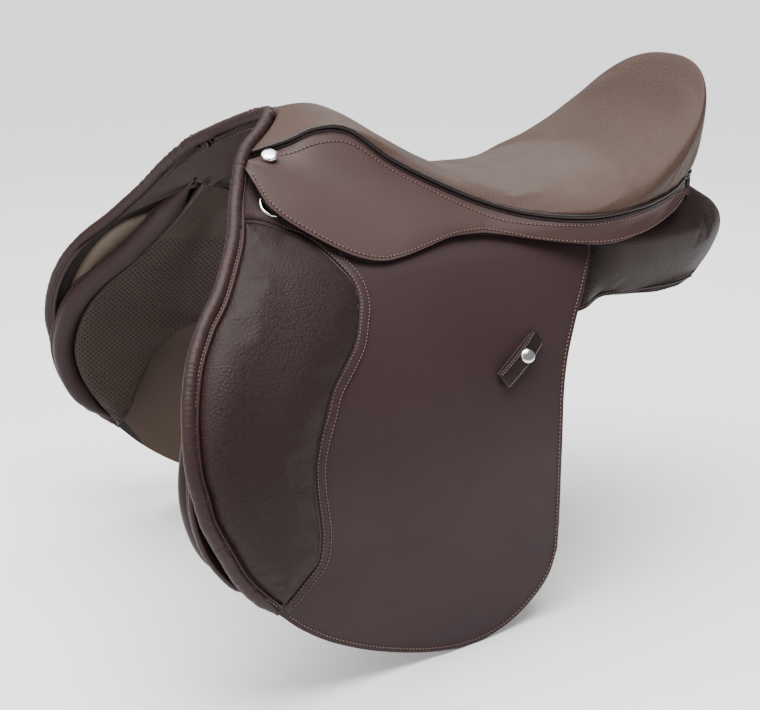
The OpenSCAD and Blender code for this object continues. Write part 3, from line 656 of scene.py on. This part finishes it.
# Painted shade: the near-black needle-hole beads stand for the shade inside the holes.
HOLE_SHADE = leather("needle_hole_painted_shade", srgb(14, 9, 8), 0.4, 0.02, 0.7, 0.0, 0.2, 0.0)
NICKEL = metal("bright_nickel", (0.86, 0.86, 0.87, 1), 0.16)
STEEL = metal("plain_steel", (0.5, 0.51, 0.53, 1), 0.34, 0.3, 0.1)
COATED = plastic("coated_steel", (0.012, 0.011, 0.011, 1))
TREE = plastic("tree_polymer", (0.02, 0.02, 0.022, 1))
WEB = woven("webbing", srgb(196, 182, 156), 1.4)

OUT, OUT_L = (0, -1, 0), (0, -1, 0.3)  # straight out, and out and a little up, on the left
SIDES = (("left", False), ("right", True))


def lifts(obj, what):
    """Bakes obj's placement into its mesh; where the skirt or the flap is lifted is worked out but not
    used.
    """
    if what == "flap":
        a, down = (BEND_A + BEND_B) / 2, unit(np.array([0.0, -0.35, -1]))
        along = unit(BEND_B - BEND_A)
    else:
        a, down = (LIFT_A + LIFT_B) / 2, unit(np.array([0.0, -0.75, -0.68]))
        along = unit(LIFT_B - LIFT_A)
    down = unit(down - along * np.dot(along, down))
    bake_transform(obj)
    return obj


def goes_with(obj, body="root"):
    """obj moves with the body."""
    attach(obj, body)


# ---- Seat ----

SEAT_RUN = 520  # length of the seat's seam
nu, nt = 130, 71
across = np.sin(np.linspace(-np.pi / 2, np.pi / 2, nt))
U, TT = np.meshgrid(np.linspace(0.004, 1, nu), across, indexing="ij")
P = seat(U, TT)
rim_mm = run_length(P[60])
gap_to_rim = np.minimum(rim_mm, rim_mm[::-1])[None]
N = grid_normals(P, (0.1, 0, 1))
from_inside = P - seat(0.5, 0.0) + [0, 0, 60]
N = np.where(np.sum(N * from_inside, -1, keepdims=True) < 0, -N, N)
s_run = U * SEAT_RUN
gathers = hash_noise(s_run / 4.5 + 3, 1) + hash_noise(s_run / 9, 2)
pucker = 0.35 * np.exp(-gap_to_rim / 9) * gathers
P = P + N * pucker[..., None]
Q = seat(U, TT * 0.985, 12.0)
V, F = sheet_data(P, Q)
rim = on_border(nu, nt)
V = plump(V, F, np.concatenate([rim.ravel(), np.ones(rim.size, bool)]), 3.0, 0.004, 3.0, 6)
uvs = grid_uv(P).reshape(-1, 2)
seat_obj = make("seat_cushion", V, F, SEAT, np.concatenate([uvs, uvs]))

# Double piping round the seat
s = np.linspace(0.004, 1, 260)
seam = np.concatenate([seat(s, -1.0), seat(1.0, np.sin(np.linspace(-np.pi / 2, 0, 40)))[1:]])
seam = resample(seam, 420)
full = np.concatenate([seam, seam[-2::-1] * [1, -1, 1]])
welt = []
for k, (dy, dz, r) in enumerate(((0.3, -1.4, 2.0), (1.0, -5.0, 1.6))):
    path = full + np.array([0, 0, dz])
    path = path - dy * unit(np.cross(unit(np.gradient(path, axis=0)), [0, 0, 1.0]))
    w = 0.12 * hash_noise(np.arange(len(path)) * 0.55, k + 5)[:, None]
    welt.append(tube("seat_piping_%d" % (k + 1), path, r, DARK, (0, 0, 1), 12, wrinkle=w))

# ---- Skirts ----


def skirt_grid(nu=150, nv=34):
    u = np.linspace(0, 1, nu)
    top = spline(SEAT_SEAM, mix(0.0, 1, u)) + [0, -0.5, -6.5]
    cut = 0.42
    t = np.clip(u / cut, 0, 1)[:, None]
    low_a = spline(SKIRT_EDGE, np.clip(u / cut, 0, 1))
    low_b = spline(BAND_EDGE, np.clip((u - cut) / (1 - cut), 0, 1))
    low = np.where((u < cut)[:, None], low_a, low_b)
    line = np.where((u < cut)[:, None], mix(LIFT_A, LIFT_B, t), mix(low, top, 0.5))
    blend_in = smooth(cut - 0.08, cut + 0.08, u)[:, None]
    line = mix(line, mix(low, top, 0.5), blend_in * (u < cut)[:, None])
    v = np.linspace(0, 1, nv)
    ctrl = np.stack([top, line, low], 0)
    n = 2
    sgn = v * n
    i = np.minimum(sgn.astype(int), 1)
    f = (sgn - i)[:, None, None]
    b, c = ctrl[i], ctrl[i + 1]
    a = np.where((i > 0)[:, None, None], ctrl[0], 2 * b - c)
    d = np.where((i == 0)[:, None, None], ctrl[2], 2 * c - b)
    S = b + 0.5 * f * ((c - a) + f * ((2 * a - 5 * b + 4 * c - d) + f * (3 * (b - c) + d - a)))
    S = np.transpose(S, (1, 0, 2))
    bulge = (4 * v * (1 - v))[None, :] * (1 - smooth(0.3, 0.5, u))[:, None]
    S = S + bulge[..., None] * np.array([0, -1.5, 1.2])
    ripple = 0.35 * wave(S[..., 0] / 30, S[..., 2] / 24, 2)[..., None]
    S = S + ripple * np.array([0, -1, 0.6]) * np.minimum(1, v * 8)[None, :, None]
    return S


SK = skirt_grid()
SKN = grid_normals(SK, OUT_L)


def surface_row(G, N, frac_rows, lift=0.1):
    """Points and normals along a row at a distance (mm) from the last column of a grid."""
    L = np.linalg.norm(np.diff(G, axis=1), axis=2)
    back = np.cumsum(L[:, ::-1], 1)
    pts, nrm = [], []
    for i in range(G.shape[0]):
        d = frac_rows[i] if np.ndim(frac_rows) else frac_rows
        j = np.searchsorted(back[i], d)
        j = min(j, L.shape[1] - 1)
        prev = back[i, j - 1] if j else 0
        f = (d - prev) / max(L[i, ::-1][j], 1e-6)
        a, b = G[i, ::-1][j], G[i, ::-1][j + 1]
        pts.append(a + (b - a) * f)
        nrm.append(N[i, ::-1][j])
    return np.array(pts) + np.array(nrm) * lift, np.array(nrm)


for sd, mi in SIDES:
    o = shell("skirt_sheet_" + sd, SK, 3.5, OUT_L, SKIRT, mi, 1.1, mats=[SKIRT, UNDER, EDGE])
    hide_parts("skirt_top_" + sd, "skirt_" + sd)
    lifts(o, "skirt")
    low = surface_row(SK, SKN, 3.6)
    top_rows = surface_row(SK[:, ::-1], SKN[:, ::-1], 8.5)
    cut = slice(8, 146)
    rows = [(low[0][3:], low[1][3:]), (top_rows[0][cut], top_rows[1][cut])]
    st = stitch("skirt_stitches_" + sd, rows, mi)
    lifts(st, "skirt")

# ---- Flaps ----


def sink(x, z):
    """How far the flap's front top lies back under the skirt."""
    return 5 * smooth(318, 345, z) * smooth(-226, -206, x)


def swell_of(x, z):
    """Slight unevenness of the flap."""
    return 0.5 * wave(x / 60, z / 70, 1) * smooth(0, 25, z)


def flap_grid(nu=120, nv_low=90, nv_top=34):
    """Flat points (x, z) of a flap, denser where it bends."""
    u = np.linspace(0, 1, nu)
    inset = BIND_R + 1
    xb = mix(-262 + inset * 1.3, 103, u)
    middle = np.stack([xb, bend_z(xb)], -1)
    v = np.linspace(0, 1, nv_low)
    f = beside(FLAP_FRONT_LOW, 1 - v, inset)
    f = mix(f, np.array(FLAP_BOTTOM[0], float), ((1 - v) ** 12)[:, None])
    low = patch(spline(FLAP_BOTTOM, u), middle, f, spline(FLAP_REAR, v), u, v)
    w = np.linspace(0, 1, nv_top)
    f = beside(FLAP_FRONT_TOP, 1 - 0.93 * w, inset)
    r = mix(np.array([103, bend_z(103)]), np.array([103, 333.0]), w[:, None])
    top = patch(middle, spline(FLAP_TOP_EDGE, u), f, r, u, w)
    G = np.concatenate([low, top[:, 1:]], 1)
    k = nv_low - 1
    for _ in range(6):
        G[:, k - 4:k + 5] = (G[:, k - 5:k + 4] + 2 * G[:, k - 4:k + 5] + G[:, k - 3:k + 6]) / 4
    return G


FG = flap_grid()
FP = on_side(FG, -sink(FG[..., 0], FG[..., 1]) + swell_of(FG[..., 0], FG[..., 1]))


def flap_line(pts, d):
    """Points on the flap's outer face along flat points, and the way out there."""
    pts = np.asarray(pts, float)
    x, z = pts[:, 0], pts[:, 1]
    P = on_side(pts, d - sink(x, z) + swell_of(x, z))
    e = np.array([[0.5, 0], [0, 0.5]])
    a = on_side(pts + e[0], 0) - on_side(pts - e[0], 0)
    b = on_side(pts + e[1], 0) - on_side(pts - e[1], 0)
    n = unit(np.cross(a, b))
    n = n * np.sign(-n[:, 1:2])
    return P, n


def offset_line(P, d, n=200):
    """A flat curve moved sideways by d, resampled."""
    return resample(beside(P, np.linspace(0, 1, n), float(d)), n)


front_gap = np.linalg.norm(FG - FG[:1], axis=2)
# Painted shade: the flap's inner face within 30 mm of its front edge and above 322 mm gets the
# near-black lining leather, for the shade under the flap.
shade = (front_gap < 30) | (FG[..., 1] > 322)
outer = np.concatenate([np.array(FLAP_BOTTOM), np.array(FLAP_REAR)[1:], [[103, 333]]])
for sd, mi in SIDES:
    o = shell("flap_sheet_" + sd, FP, 4.0, OUT_L, FLAP, mi, 1.2, shade, [FLAP, UNDER, EDGE, LINING_AND_SHADE])
    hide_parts("flap_top_" + sd, "flap_" + sd)
    lifts(o, "flap")
    p, n = flap_line(offset_line(outer, 3.8, 400)[6:-4], 0.1)
    st = stitch("flap_stitches_" + sd, [(p, n)], mi)
    lifts(st, "flap")

# ---- Rolled binding over the pommel and down the front of each flap ----

s = np.linspace(0, 1, 220)
run = beside(FLAP_FRONT, s, BIND_R)
front = on_side(run, -1.5)
notch = seat(0.0, np.linspace(0, -0.93, 70)) + [-BIND_R - 1.5, 0, -1.5]
bind_path = resample(np.concatenate([notch, front[6:]]), 620)
relax(bind_path, 40)
k = np.arange(620)
ang = np.linspace(0, 2 * np.pi, 18, endpoint=False)
gather = 0.18 + 0.75 * np.exp(-((k - 110) / 26.0) ** 2) + 0.9 * np.exp(-((k - 18) / 16.0) ** 2)
gather = gather + 0.3 * np.exp(-((k - 190) / 30.0) ** 2)
ridge = hash_noise(k * 0.55, 3) + 0.6 * hash_noise(k * 1.1, 4)
wr = gather[:, None] * ridge[:, None] * (0.55 + 0.45 * np.cos(ang - 0.6))[None] * 0.85
bind_r = BIND_R * (1 - 0.6 * smooth(590, 619, k))
tilt = hash_noise(k[:, None] * 0.28 + 2.2 * np.sin(ang)[None], 6) * 0.16
for sd, mi in SIDES:
    o = tube("front_binding_" + sd, bind_path, bind_r, BIND, OUT, 18, mi, wrinkle=wr + tilt)
    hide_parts(*(["flap_binding_" + sd] + (["pommel_binding"] if not mi else [])))
    lifts(o, "flap")
    flat = offset_line(FLAP_FRONT, 2 * BIND_R + 1.6, 300)[10:-3]
    p, n = flap_line(flat, 1.0)
    fl, _ = flap_line(offset_line(FLAP_FRONT, 2 * BIND_R + 0.2, 300)[6:-2], 0.6)
    lip = tube("binding_lip_" + sd, fl, 2.6, BIND, OUT, 10, mi, squashed=0.55)
    lifts(lip, "flap")
    p2, n2 = flap_line(offset_line(FLAP_FRONT, 2 * BIND_R - 1.6, 300)[12:-5], 2.4)
    st = stitch("binding_stitches_" + sd, [(p2, n2)], mi, 3.3, 2.3, 1.0, 0.1)
    lifts(st, "flap")

# ---- Knee pads, their raised border and the keepers ----


def edge_distance(pts, poly):
    """Distance in the plane from points to a closed line."""
    poly = np.asarray(poly, float)
    a, b = poly, np.roll(poly, -1, 0)
    best = np.full(pts.shape[:-1], 1e9)
    for p, q in zip(a, b):
        d = q - p
        t = np.clip(((pts - p) @ d) / max(d @ d, 1e-9), 0, 1)
        best = np.minimum(best, np.linalg.norm(pts - (p + t[..., None] * d), axis=-1))
    return best


PAD_RISE, PAD_SLOPE = 12.2, 26  # height of a pad, and the width over which it rises
n = 110
front_line = offset_line(FLAP_FRONT, 2 * BIND_R + 2.6, 400)
start = np.argmin(np.linalg.norm(front_line - [-222, 366], axis=1))
front_line = resample(front_line[start:-6], n)
rear_line = resample(spline(PAD_SEAM, np.linspace(0.012, 0.985, 400)), n)
w = np.linspace(0, 1, 44)
pad_flat = front_line[:, None] * (1 - w)[None, :, None] + rear_line[:, None] * w[None, :, None]
loop = np.concatenate([front_line[::3], rear_line[::-3]])
dist = edge_distance(pad_flat, loop)
crown = np.sqrt(1 - (1 - np.clip(dist / PAD_SLOPE, 0, 1)) ** 2)
swell = 1 + 0.12 * np.sin(np.linspace(0, np.pi, n))[:, None]
height = 0.4 + PAD_RISE * crown * swell
px, pz = pad_flat[..., 0], pad_flat[..., 1]
height = height + 0.35 * wave(px / 17, pz / 26, 4) * crown
folds = np.sin(w[None] * 11 + 0.9 * np.sin(np.linspace(0, 3, n))[:, None]) * crown
height = height + 0.55 * folds * smooth(0.25, 0.6, np.linspace(1, 0, n))[:, None]
sunk = 5 * smooth(330, 352, pz) * smooth(-226, -206, px)
Ppad = on_side(pad_flat, height - sunk)
Qpad = on_side(pad_flat, -2.0 - sunk)
seam_pts = spline(PAD_SEAM, np.linspace(0, 1, 400))
band = resample(beside(PAD_SEAM, np.linspace(0.0, 0.99, 400), 6.0), 300)
relax(band, 20)
V, Fpad = sheet_data(Ppad, Qpad)
uvs = grid_uv(Ppad).reshape(-1, 2)
held = np.concatenate([(dist < 1.2).ravel(), np.ones(dist.size, bool)])
Vpad = plump(V, Fpad, held, 4.0, 0.008, 4.0, 6)
for sd, mi in SIDES:
    o = make("knee_pad_cushion_" + sd, Vpad, Fpad, PAD, np.concatenate([uvs, uvs]), mi)
    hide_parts("knee_pad_" + sd)
    lifts(o, "flap")
    p, nn = flap_line(band, 0.0)
    o = tube("pad_border_roll_" + sd, p, 5.2, FLAP, nn, 16, mi)
    me = o.data
    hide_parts("pad_border_" + sd)
    # The roll is a low crown: its height is pressed down onto the flap
    co = np.empty(len(me.vertices) * 3)
    me.vertices.foreach_get("co", co)
    co = co.reshape(-1, 3)
    flip = [1, -1, 1] if mi else [1, 1, 1]
    line = (p * flip - [0, 0, REST_Z]) / 1000
    nl = nn * flip
    near = np.argmin(((co[:, None, ::2] - line[None, ::3, ::2]) ** 2).sum(-1), 1) * 3
    h = np.sum((co - line[near]) * nl[near], -1)
    co = co - nl[near] * (h * 0.58)[:, None]
    me.vertices.foreach_set("co", co.ravel())
    me.update()
    lifts(o, "flap")
    a, na = flap_line(offset_line(PAD_SEAM, 3.0, 300)[30:-6], 2.0)
    b, nb = flap_line(offset_line(PAD_SEAM, 9.6, 300)[30:-6], 1.8)
    st = stitch("border_stitches_" + sd, [(a, na), (b, nb)], mi, 3.0, 2.0, 0.85)
    lifts(st, "flap")
    c, nc = flap_line(resample(seam_pts, 300), 0.6)
    o = tube("pad_piping_" + sd, c[2:-2], 1.5, DARK, nc[2:-2], 8, mi)
    lifts(o, "flap")

# Keeper for the stirrup leather, between two ends on the flap
KEEPER_W = 15
ka, kb = np.array([-20.5, 228.0]), np.array([24.5, 257.5])
kdir = unit(kb - ka)
kn = np.array([-kdir[1], kdir[0]])
ul = np.linspace(0, 1, 50)
vl = np.linspace(-0.5, 0.5, 9)
rise = 1.0 + 3.4 * np.sin(np.pi * np.clip(ul * 1.05, 0, 1)) ** 0.6 + 1.6 * (1 - ul) ** 3
end_round = 1 - 0.15 * smooth(0.93, 1.0, ul)
kp = ka + (kb - ka) * ul[:, None, None] + kn * (vl[None, :] * KEEPER_W * end_round[:, None])[..., None]
KP = on_side(kp, (rise + 3.0)[:, None] - 0.8 * (2 * vl[None]) ** 4)
base_run = np.linspace(0.02, 0.9, 20)[:, None, None]
low_l = on_side(ka + (kb - ka) * base_run + kn * (vl[None] * 0.9 * KEEPER_W)[..., None], 1.6)
KN = grid_normals(KP, OUT_L)
for sd, mi in SIDES:
    body = "flap_body_" + sd
    o = shell("keeper_loop_" + sd, KP, 2.8, OUT_L, BIND, mi, 0.7, mats=[KEEPER, UNDER, EDGE])
    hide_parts("keeper_" + sd)
    goes_with(o, body)
    o = shell("keeper_base_" + sd, low_l, 1.5, OUT_L, FLAP, mi, 0.4)
    goes_with(o, body)
    rows = [(KP[2:-2, j] + KN[2:-2, j] * 0.1, KN[2:-2, j]) for j in (1, 7)]
    st = stitch("keeper_stitches_" + sd, rows, mi, 2.8, 1.9, 0.7)
    goes_with(st, body)

# ---- Under the flaps: sweat flaps, knee blocks ----

SW_LOW = [[-248, 104], [-236, 125], [-222, 158], [-190, 200], [-140, 190], [-105, 110],
          [-70, 66], [-20, 58], [26, 80]]
SW_TOP = [[-212, 325], [-180, 332], [-120, 334], [-60, 325], [-20, 320], [20, 316], [50, 312]]
SW_FRONT = [[-248, 104], [-274, 124], [-286, 152], [-286, 185], [-272, 225], [-250, 260],
            [-228, 292], [-212, 325]]
SW_REAR = [[26, 80], [28, 130], [30, 190], [36, 250], [50, 312]]
u, v = np.linspace(0, 1, 90), np.linspace(0, 1, 70)
sweat_edges = [spline(SW_LOW, u), spline(SW_TOP, u), spline(SW_FRONT, v), spline(SW_REAR, v)]
SW = on_side(patch(*sweat_edges, u, v), -SWEAT_D)

BA = [[-222, 330], [-246, 318], [-266, 296], [-282, 262], [-289, 225], [-286, 190]]
BB = [[-200, 318], [-216, 292], [-236, 266], [-252, 240], [-262, 215], [-266, 186]]
bu, bv = np.linspace(0, 1, 26), np.linspace(0, 1, 60)
block_front, block_rear = spline(BA, 1 - bv)[:, None], spline(BB, 1 - bv)[:, None]
bg = np.transpose(mix(block_front, block_rear, bu[None, :, None]), (1, 0, 2))
bd = np.minimum(np.minimum(bu, 1 - bu)[:, None] * 26, np.minimum(bv, 1 - bv)[None] * 100)
bc = np.sqrt(1 - (1 - np.clip(bd / 9, 0, 1)) ** 2)
BP = on_side(bg, -4.6)
BQ = on_side(bg, -6.5 - 9.3 * bc)

for sd, mi in SIDES:
    o = shell("sweat_sheet_" + sd, SW, 3.0, OUT_L, UNDER, mi, 0.9, mats=[UNDER, UNDER, EDGE])
    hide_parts("sweat_flap_" + sd)
    goes_with(o)
    V, F = sheet_data(BP, BQ)
    o = make("knee_block_cushion_" + sd, V, F, BLOCK, None, mi)
    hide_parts("knee_block_" + sd)
    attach(o, "root")

# ---- Panels ----


def rest_face(x, z):
    """Distance from the middle plane to the face of a panel that lies on the horse."""
    front = side(x, z) - SWEAT_D - SWEAT_T - PANEL_T
    rear = np.maximum(34, 34 + (332 - z) * 0.9 - 26 * smooth(215, 287, x))
    return mix(front, rear, smooth(-190, -70, x))


def gusset_face(x, z):
    """Distance from the middle plane to the outer face of a panel."""
    flat = side(x, z) - SWEAT_D - SWEAT_T - 0.6
    round_end = 124 * np.sqrt(np.maximum(1 - ((x - 110) / 225) ** 2, 0))
    rear = round_end - 30 * np.clip((340 - z) / 80, 0, 1) ** 2 - 10 * smooth(316, 336, z)
    return mix(flat, rear, smooth(92, 135, x))


def panel_grids(nu=170, nv=54):
    u = np.linspace(0, 1, nu)
    v = 0.5 - 0.5 * np.cos(np.linspace(0, np.pi, nv))
    f = beside(ROLL_FRONT, 1 - v, 2 * ROLL_R - 2.0)
    f = mix(f, np.array(PANEL_LOW[0], float), ((1 - v) ** 8)[:, None])
    G = patch(spline(PANEL_LOW, u), spline(PANEL_TOP, u), f, spline(PANEL_END, v), u, v)

    def ease(s):
        return np.sqrt(np.maximum(1 - (1 - np.clip(s, 0, 1)) ** 2, 0))

    uu, vv = u[:, None], v[None]
    gusset = smooth(0.7, 0.85, uu)
    lower, front = ease((vv + 0.004) / 0.28), 0.62 + 0.38 * ease(uu / 0.06)
    top = 0.8 - 0.55 * gusset + (0.2 + 0.55 * gusset) * ease((1 - vv) / (0.1 + 0.3 * gusset))
    full = lower * ease((1 - uu + 0.002) / 0.12) * front * top
    a, b = gusset_face(G[..., 0], G[..., 1]), rest_face(G[..., 0], G[..., 1])
    m, h = (a + b) / 2, np.maximum((a - b) / 2 * full, 0.4)
    swell = 0.7 * wave(G[..., 0] / 26, G[..., 1] / 22, 5) * full
    outer = np.stack([G[..., 0], -m - h, G[..., 1]], -1)
    inner = np.stack([G[..., 0], -m + h + swell, G[..., 1]], -1)
    return outer, inner


PO, PI = panel_grids()
Vpan, Fpan = sheet_data(PO, PI)
rim = on_border(*PO.shape[:2])
outside = (PO[..., 0] < 95) | rim
Vpan = plump(Vpan, Fpan, np.concatenate([outside.ravel(), rim.ravel()]), 3.0, 0.008, 4.0, 4)


def along_roll(inward, depth, first=0.0, last=0.97, n=300):
    """Line beside a panel's front edge, at a depth under the outside of the flap."""
    return resample(on_side(beside(ROLL_FRONT, np.linspace(first, last, 180), inward), -depth), n)


behind_sweat = SWEAT_D + SWEAT_T
k = np.arange(300)
g = 0.25 * (hash_noise(k * 0.6, 8) + 0.7 * hash_noise(k * 1.15, 9))[:, None]  # gathers
for sd, mi in SIDES:
    k = (PO.shape[0] - 1) * (PO.shape[1] - 1)
    uo, ui = grid_uv(PO).reshape(-1, 2), PI[..., ::2].reshape(-1, 2) / 1000
    xs = PI[:-1, :-1, 0].ravel()
    fm = [1] * k + [0 if x < -40 else 1 for x in xs] + [1] * (len(Fpan) - 2 * k)
    o = make("panel_cushion_" + sd, Vpan, Fpan, None, np.concatenate([uo, ui]), mi,
             [PANEL, GUSSET], fm)
    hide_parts("panel_" + sd, "panel_fill_" + sd)
    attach(o, "root")

    # Piped seam and stitches along the lower edge of the rear gusset
    behind_flap = PO[:, 13, 0] > 66
    low_seam, pn = PO[behind_flap, 13], grid_normals(PO, OUT_L)[behind_flap, 13]
    o = tube("gusset_piping_" + sd, low_seam[1:-1] + pn[1:-1] * 0.4, 1.3, DARK, pn[1:-1], 8, mi)
    goes_with(o)
    up = PO[behind_flap, 15] + pn * 0.4
    st = stitch("gusset_stitches_" + sd, [(up[1:-1], pn[1:len(up) - 1])], mi)
    goes_with(st)

    # Front roll, the gathered binding outside it and the piping inside it
    path = along_roll(ROLL_R, behind_sweat + ROLL_R + 3, n=240)
    along = np.linspace(0, 1, 240)
    rr = ROLL_R * (1 - 0.75 * smooth(0.88, 1.0, along)) * (0.12 + 0.88 * smooth(0, 0.16, along))
    o = tube("panel_roll_cushion_" + sd, path, rr, ROLL, OUT, 22, mi, squashed=1.15)
    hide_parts("panel_roll_" + sd)
    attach(o, "root")
    p = along_roll(4.0, SWEAT_D + 2.0)
    o = tube("panel_binding_" + sd, p, 3.6 * ends(300, 0.09, 0.05), BIND, OUT, 12, mi, wrinkle=g)
    goes_with(o)
    p = along_roll(2.2, SWEAT_D - 4.6)
    o = tube("sweat_binding_" + sd, p[40:], 2.4 * ends(260, 0.06, 0.05), BIND, OUT, 10, mi,
             wrinkle=0.4 * g[40:])
    goes_with(o)
    for k, (inward, depth, r) in enumerate(((6.5, 6.8, 2.4), (8.0, 11.8, 2.2))):
        flat = beside(FLAP_FRONT_LOW[1:], np.linspace(0, 0.97, 160), inward)
        p = resample(on_side(flat, -depth), 300)
        o = tube("lining_roll_%d_%s" % (k + 1, sd), p, r * ends(300, 0.12, 0.06), ROLL, OUT, 10, mi,
                 wrinkle=0.3 * g)
        lifts(o, "flap")
    p = along_roll(2 * ROLL_R + 0.5, behind_sweat + 2 * ROLL_R + 3.5, 0.03, 0.95, 240)
    o = tube("roll_piping_" + sd, p, 1.3, DARK, OUT, 8, mi)
    goes_with(o)

# ---- Gullet lining, cantle facing, ring straps ----

lu, lv = np.linspace(0, 1, 50), np.linspace(-1, 1, 61)
LU, LV = np.meshgrid(lu, lv, indexing="ij")
arch = np.maximum(np.cos(LV * np.pi / 2), 0) ** 0.8
LP = np.stack([mix(-171 - 24 * np.abs(LV) ** 1.5, -40, LU),
               mix(66, 46, LU) * np.sin(LV * np.pi / 2),
               mix(366, 338, LU) + mix(17, 26, LU) * arch], -1)
o = shell("gullet_sheet", LP, -2.0, (0, 0, -1), LINING_AND_SHADE, False, 0.5)
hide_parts("gullet_lining")
goes_with(o)

# Dark facing inside the pommel, from the rolled binding to the arch
fa = np.linspace(-1, 1, 81)
over_pommel = seat(0.0, np.clip(fa, -0.5, 0.5) / 0.5 * 0.93) + [-7, 0, -6]
down_front = np.clip((np.abs(fa) - 0.5) / 0.5, 0, 1) * 0.33
down = on_side(beside(FLAP_FRONT, down_front, 9.0), -6.0)
down[:, 1] *= np.where(fa < 0, 1, -1)
top_l = np.where((np.abs(fa) < 0.5)[:, None], over_pommel, down)
relax(top_l, 50)
turn = smooth(0.65, 1, np.abs(fa))
low_l2 = np.stack([-173 - 24 * np.abs(fa) ** 1.5, mix(69, 76, turn) * np.sin(fa * np.pi / 2),
                   343 + 39 * np.maximum(np.cos(fa * np.pi / 2), 0) ** 0.8 + 19 * turn], -1)
fv = np.linspace(0, 1, 14)
facing_grid = mix(top_l[:, None], low_l2[:, None], fv[None, :, None])
facing_grid = facing_grid + (4 * fv * (1 - fv))[None, :, None] * np.array([3.0, 0, 2.5])
o = shell("pommel_facing", facing_grid, 1.6, (-1, 0, -0.4), ROLL, False, 0.4)
goes_with(o)
row = resample(facing_grid[3:-3, 2], 300)
st = stitch("facing_stitches", [(row + [-0.6, 0, -0.3], (-1, 0, -0.4))])
goes_with(st)

tt = np.sin(np.linspace(-np.pi / 2, np.pi / 2, 60)) * 0.93
FC = np.stack([seat(1.0, tt) + [0.6, 0, mix(-7.0, -24, w)] for w in np.linspace(0, 1, 8)], 1)
o = shell("cantle_band", FC, 2.6, (1, 0, 0), SKIRT, False, 0.7)
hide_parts("cantle_facing")
goes_with(o)

ru, rv = np.linspace(-190, -176, 8), np.linspace(384, 401, 10)
RG = np.stack(np.meshgrid(ru, rv, indexing="ij"), -1)
for sd, mi in SIDES:
    o = shell("ring_tab_" + sd, on_side(RG, -1.9), 2.4, OUT_L, BIND, mi, 0.5)
    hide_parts("ring_strap_" + sd)
    goes_with(o)

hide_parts("seat_cover", "seat_foam")
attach(seat_obj, "root")
WU, WV = np.linspace(0.2, 0.72, 60)[:, None], np.linspace(-0.46, 0.46, 24)[None]
o = shell("seat_webbing_straps", seat(WU, WV, 17.0), 1.5, (0, 0, 1), WEB, False, 0.3)
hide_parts("seat_webbing")
goes_with(o)
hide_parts("seat_welt")
for o in welt:
    goes_with(o)

# ---- Materials of the CAD pieces that stay ----

KEEP = {"tree": TREE, "gullet_plate": COATED, "gullet_screws": STEEL, "stirrup_bar_rivets": NICKEL,
        "head_nails": NICKEL}
for sd, _ in SIDES:
    KEEP.update({"stirrup_bar_" + sd: STEEL, "bar_catch_" + sd: STEEL, "girth_web_" + sd: WEB,
                 "keeper_stud_" + sd: NICKEL, "front_ring_" + sd: NICKEL})
    for w in ("front", "mid", "rear"):
        KEEP["girth_strap_%s_%s" % (w, sd)] = STRAP
for name, mat in KEEP.items():
    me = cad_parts[name].data
    me.materials.clear()
    me.materials.append(mat)

# ---- Floor, light and camera ----

fn = Nodes("floor_white")
pale = fn.blend(fn.noise(3), (0.93, 0.93, 0.93, 1), (0.9, 0.9, 0.9, 1))
fn.put(fn.bsdf.inputs["Base Color"], pale)
fn.bsdf.inputs["Roughness"].default_value = 0.9
FLOOR_HALF, GAP = 40000.0, 1.0
under = CAD_BOX[0].z * 1000 + REST_Z - GAP
corners = [(x * FLOOR_HALF, y * FLOOR_HALF, under) for x, y in ((-1, -1), (1, -1), (1, 1), (-1, 1))]
make("floor", corners, [(0, 1, 2, 3)], fn.mat)

world = bpy.data.worlds.new("studio")
bpy.context.scene.world = world
world.use_nodes = True
world.node_tree.nodes["Background"].inputs[0].default_value = (1, 1, 1, 1)
world.node_tree.nodes["Background"].inputs[1].default_value = 0.26


def area(name, place, aim, size, power, tall=None):
    """Soft rectangular light of the given power in watts."""
    d = bpy.data.lights.new(name, "AREA")
    d.shape, d.size, d.size_y = "RECTANGLE", size, tall or size
    d.energy = power
    o = bpy.data.objects.new(name, d)
    o.location = place
    o.rotation_mode = "QUATERNION"
    o.rotation_quaternion = (Vector(aim) - Vector(place)).to_track_quat("-Z", "Y")
    bpy.context.scene.collection.objects.link(o)


area("softbox_top", (-0.3, -0.5, 1.6), (0, 0, 0.05), 1.5, 44, 1.1)
area("softbox_left", (-1.6, -0.7, 0.8), (0, 0, 0), 1.0, 9)
area("softbox_back", (0.9, 1.3, 1.0), (0, 0, 0), 1.0, 9)
sun_data = bpy.data.lights.new("ceiling", "SUN")
sun_data.energy, sun_data.angle = 5.0, math.radians(70)
sun = bpy.data.objects.new("ceiling", sun_data)
sun.rotation_euler = (math.radians(-8), math.radians(-8), 0)
bpy.context.scene.collection.objects.link(sun)

cam_data = bpy.data.cameras.new("camera")
cam = bpy.data.objects.new("camera", cam_data)
bpy.context.scene.collection.objects.link(cam)
azimuth, elevation, distance = math.radians(-25), math.radians(17), 1.315
level = math.cos(elevation)
back = Vector((math.sin(azimuth) * level, -math.cos(azimuth) * level, math.sin(elevation)))
cam.location = Vector((-0.048, 0, -0.0755)) + back * distance
cam.rotation_mode = "QUATERNION"
cam.rotation_quaternion = (-back).to_track_quat("-Z", "Y")
cam_data.lens, cam_data.sensor_width = 66.65, 36
bpy.context.scene.camera = cam
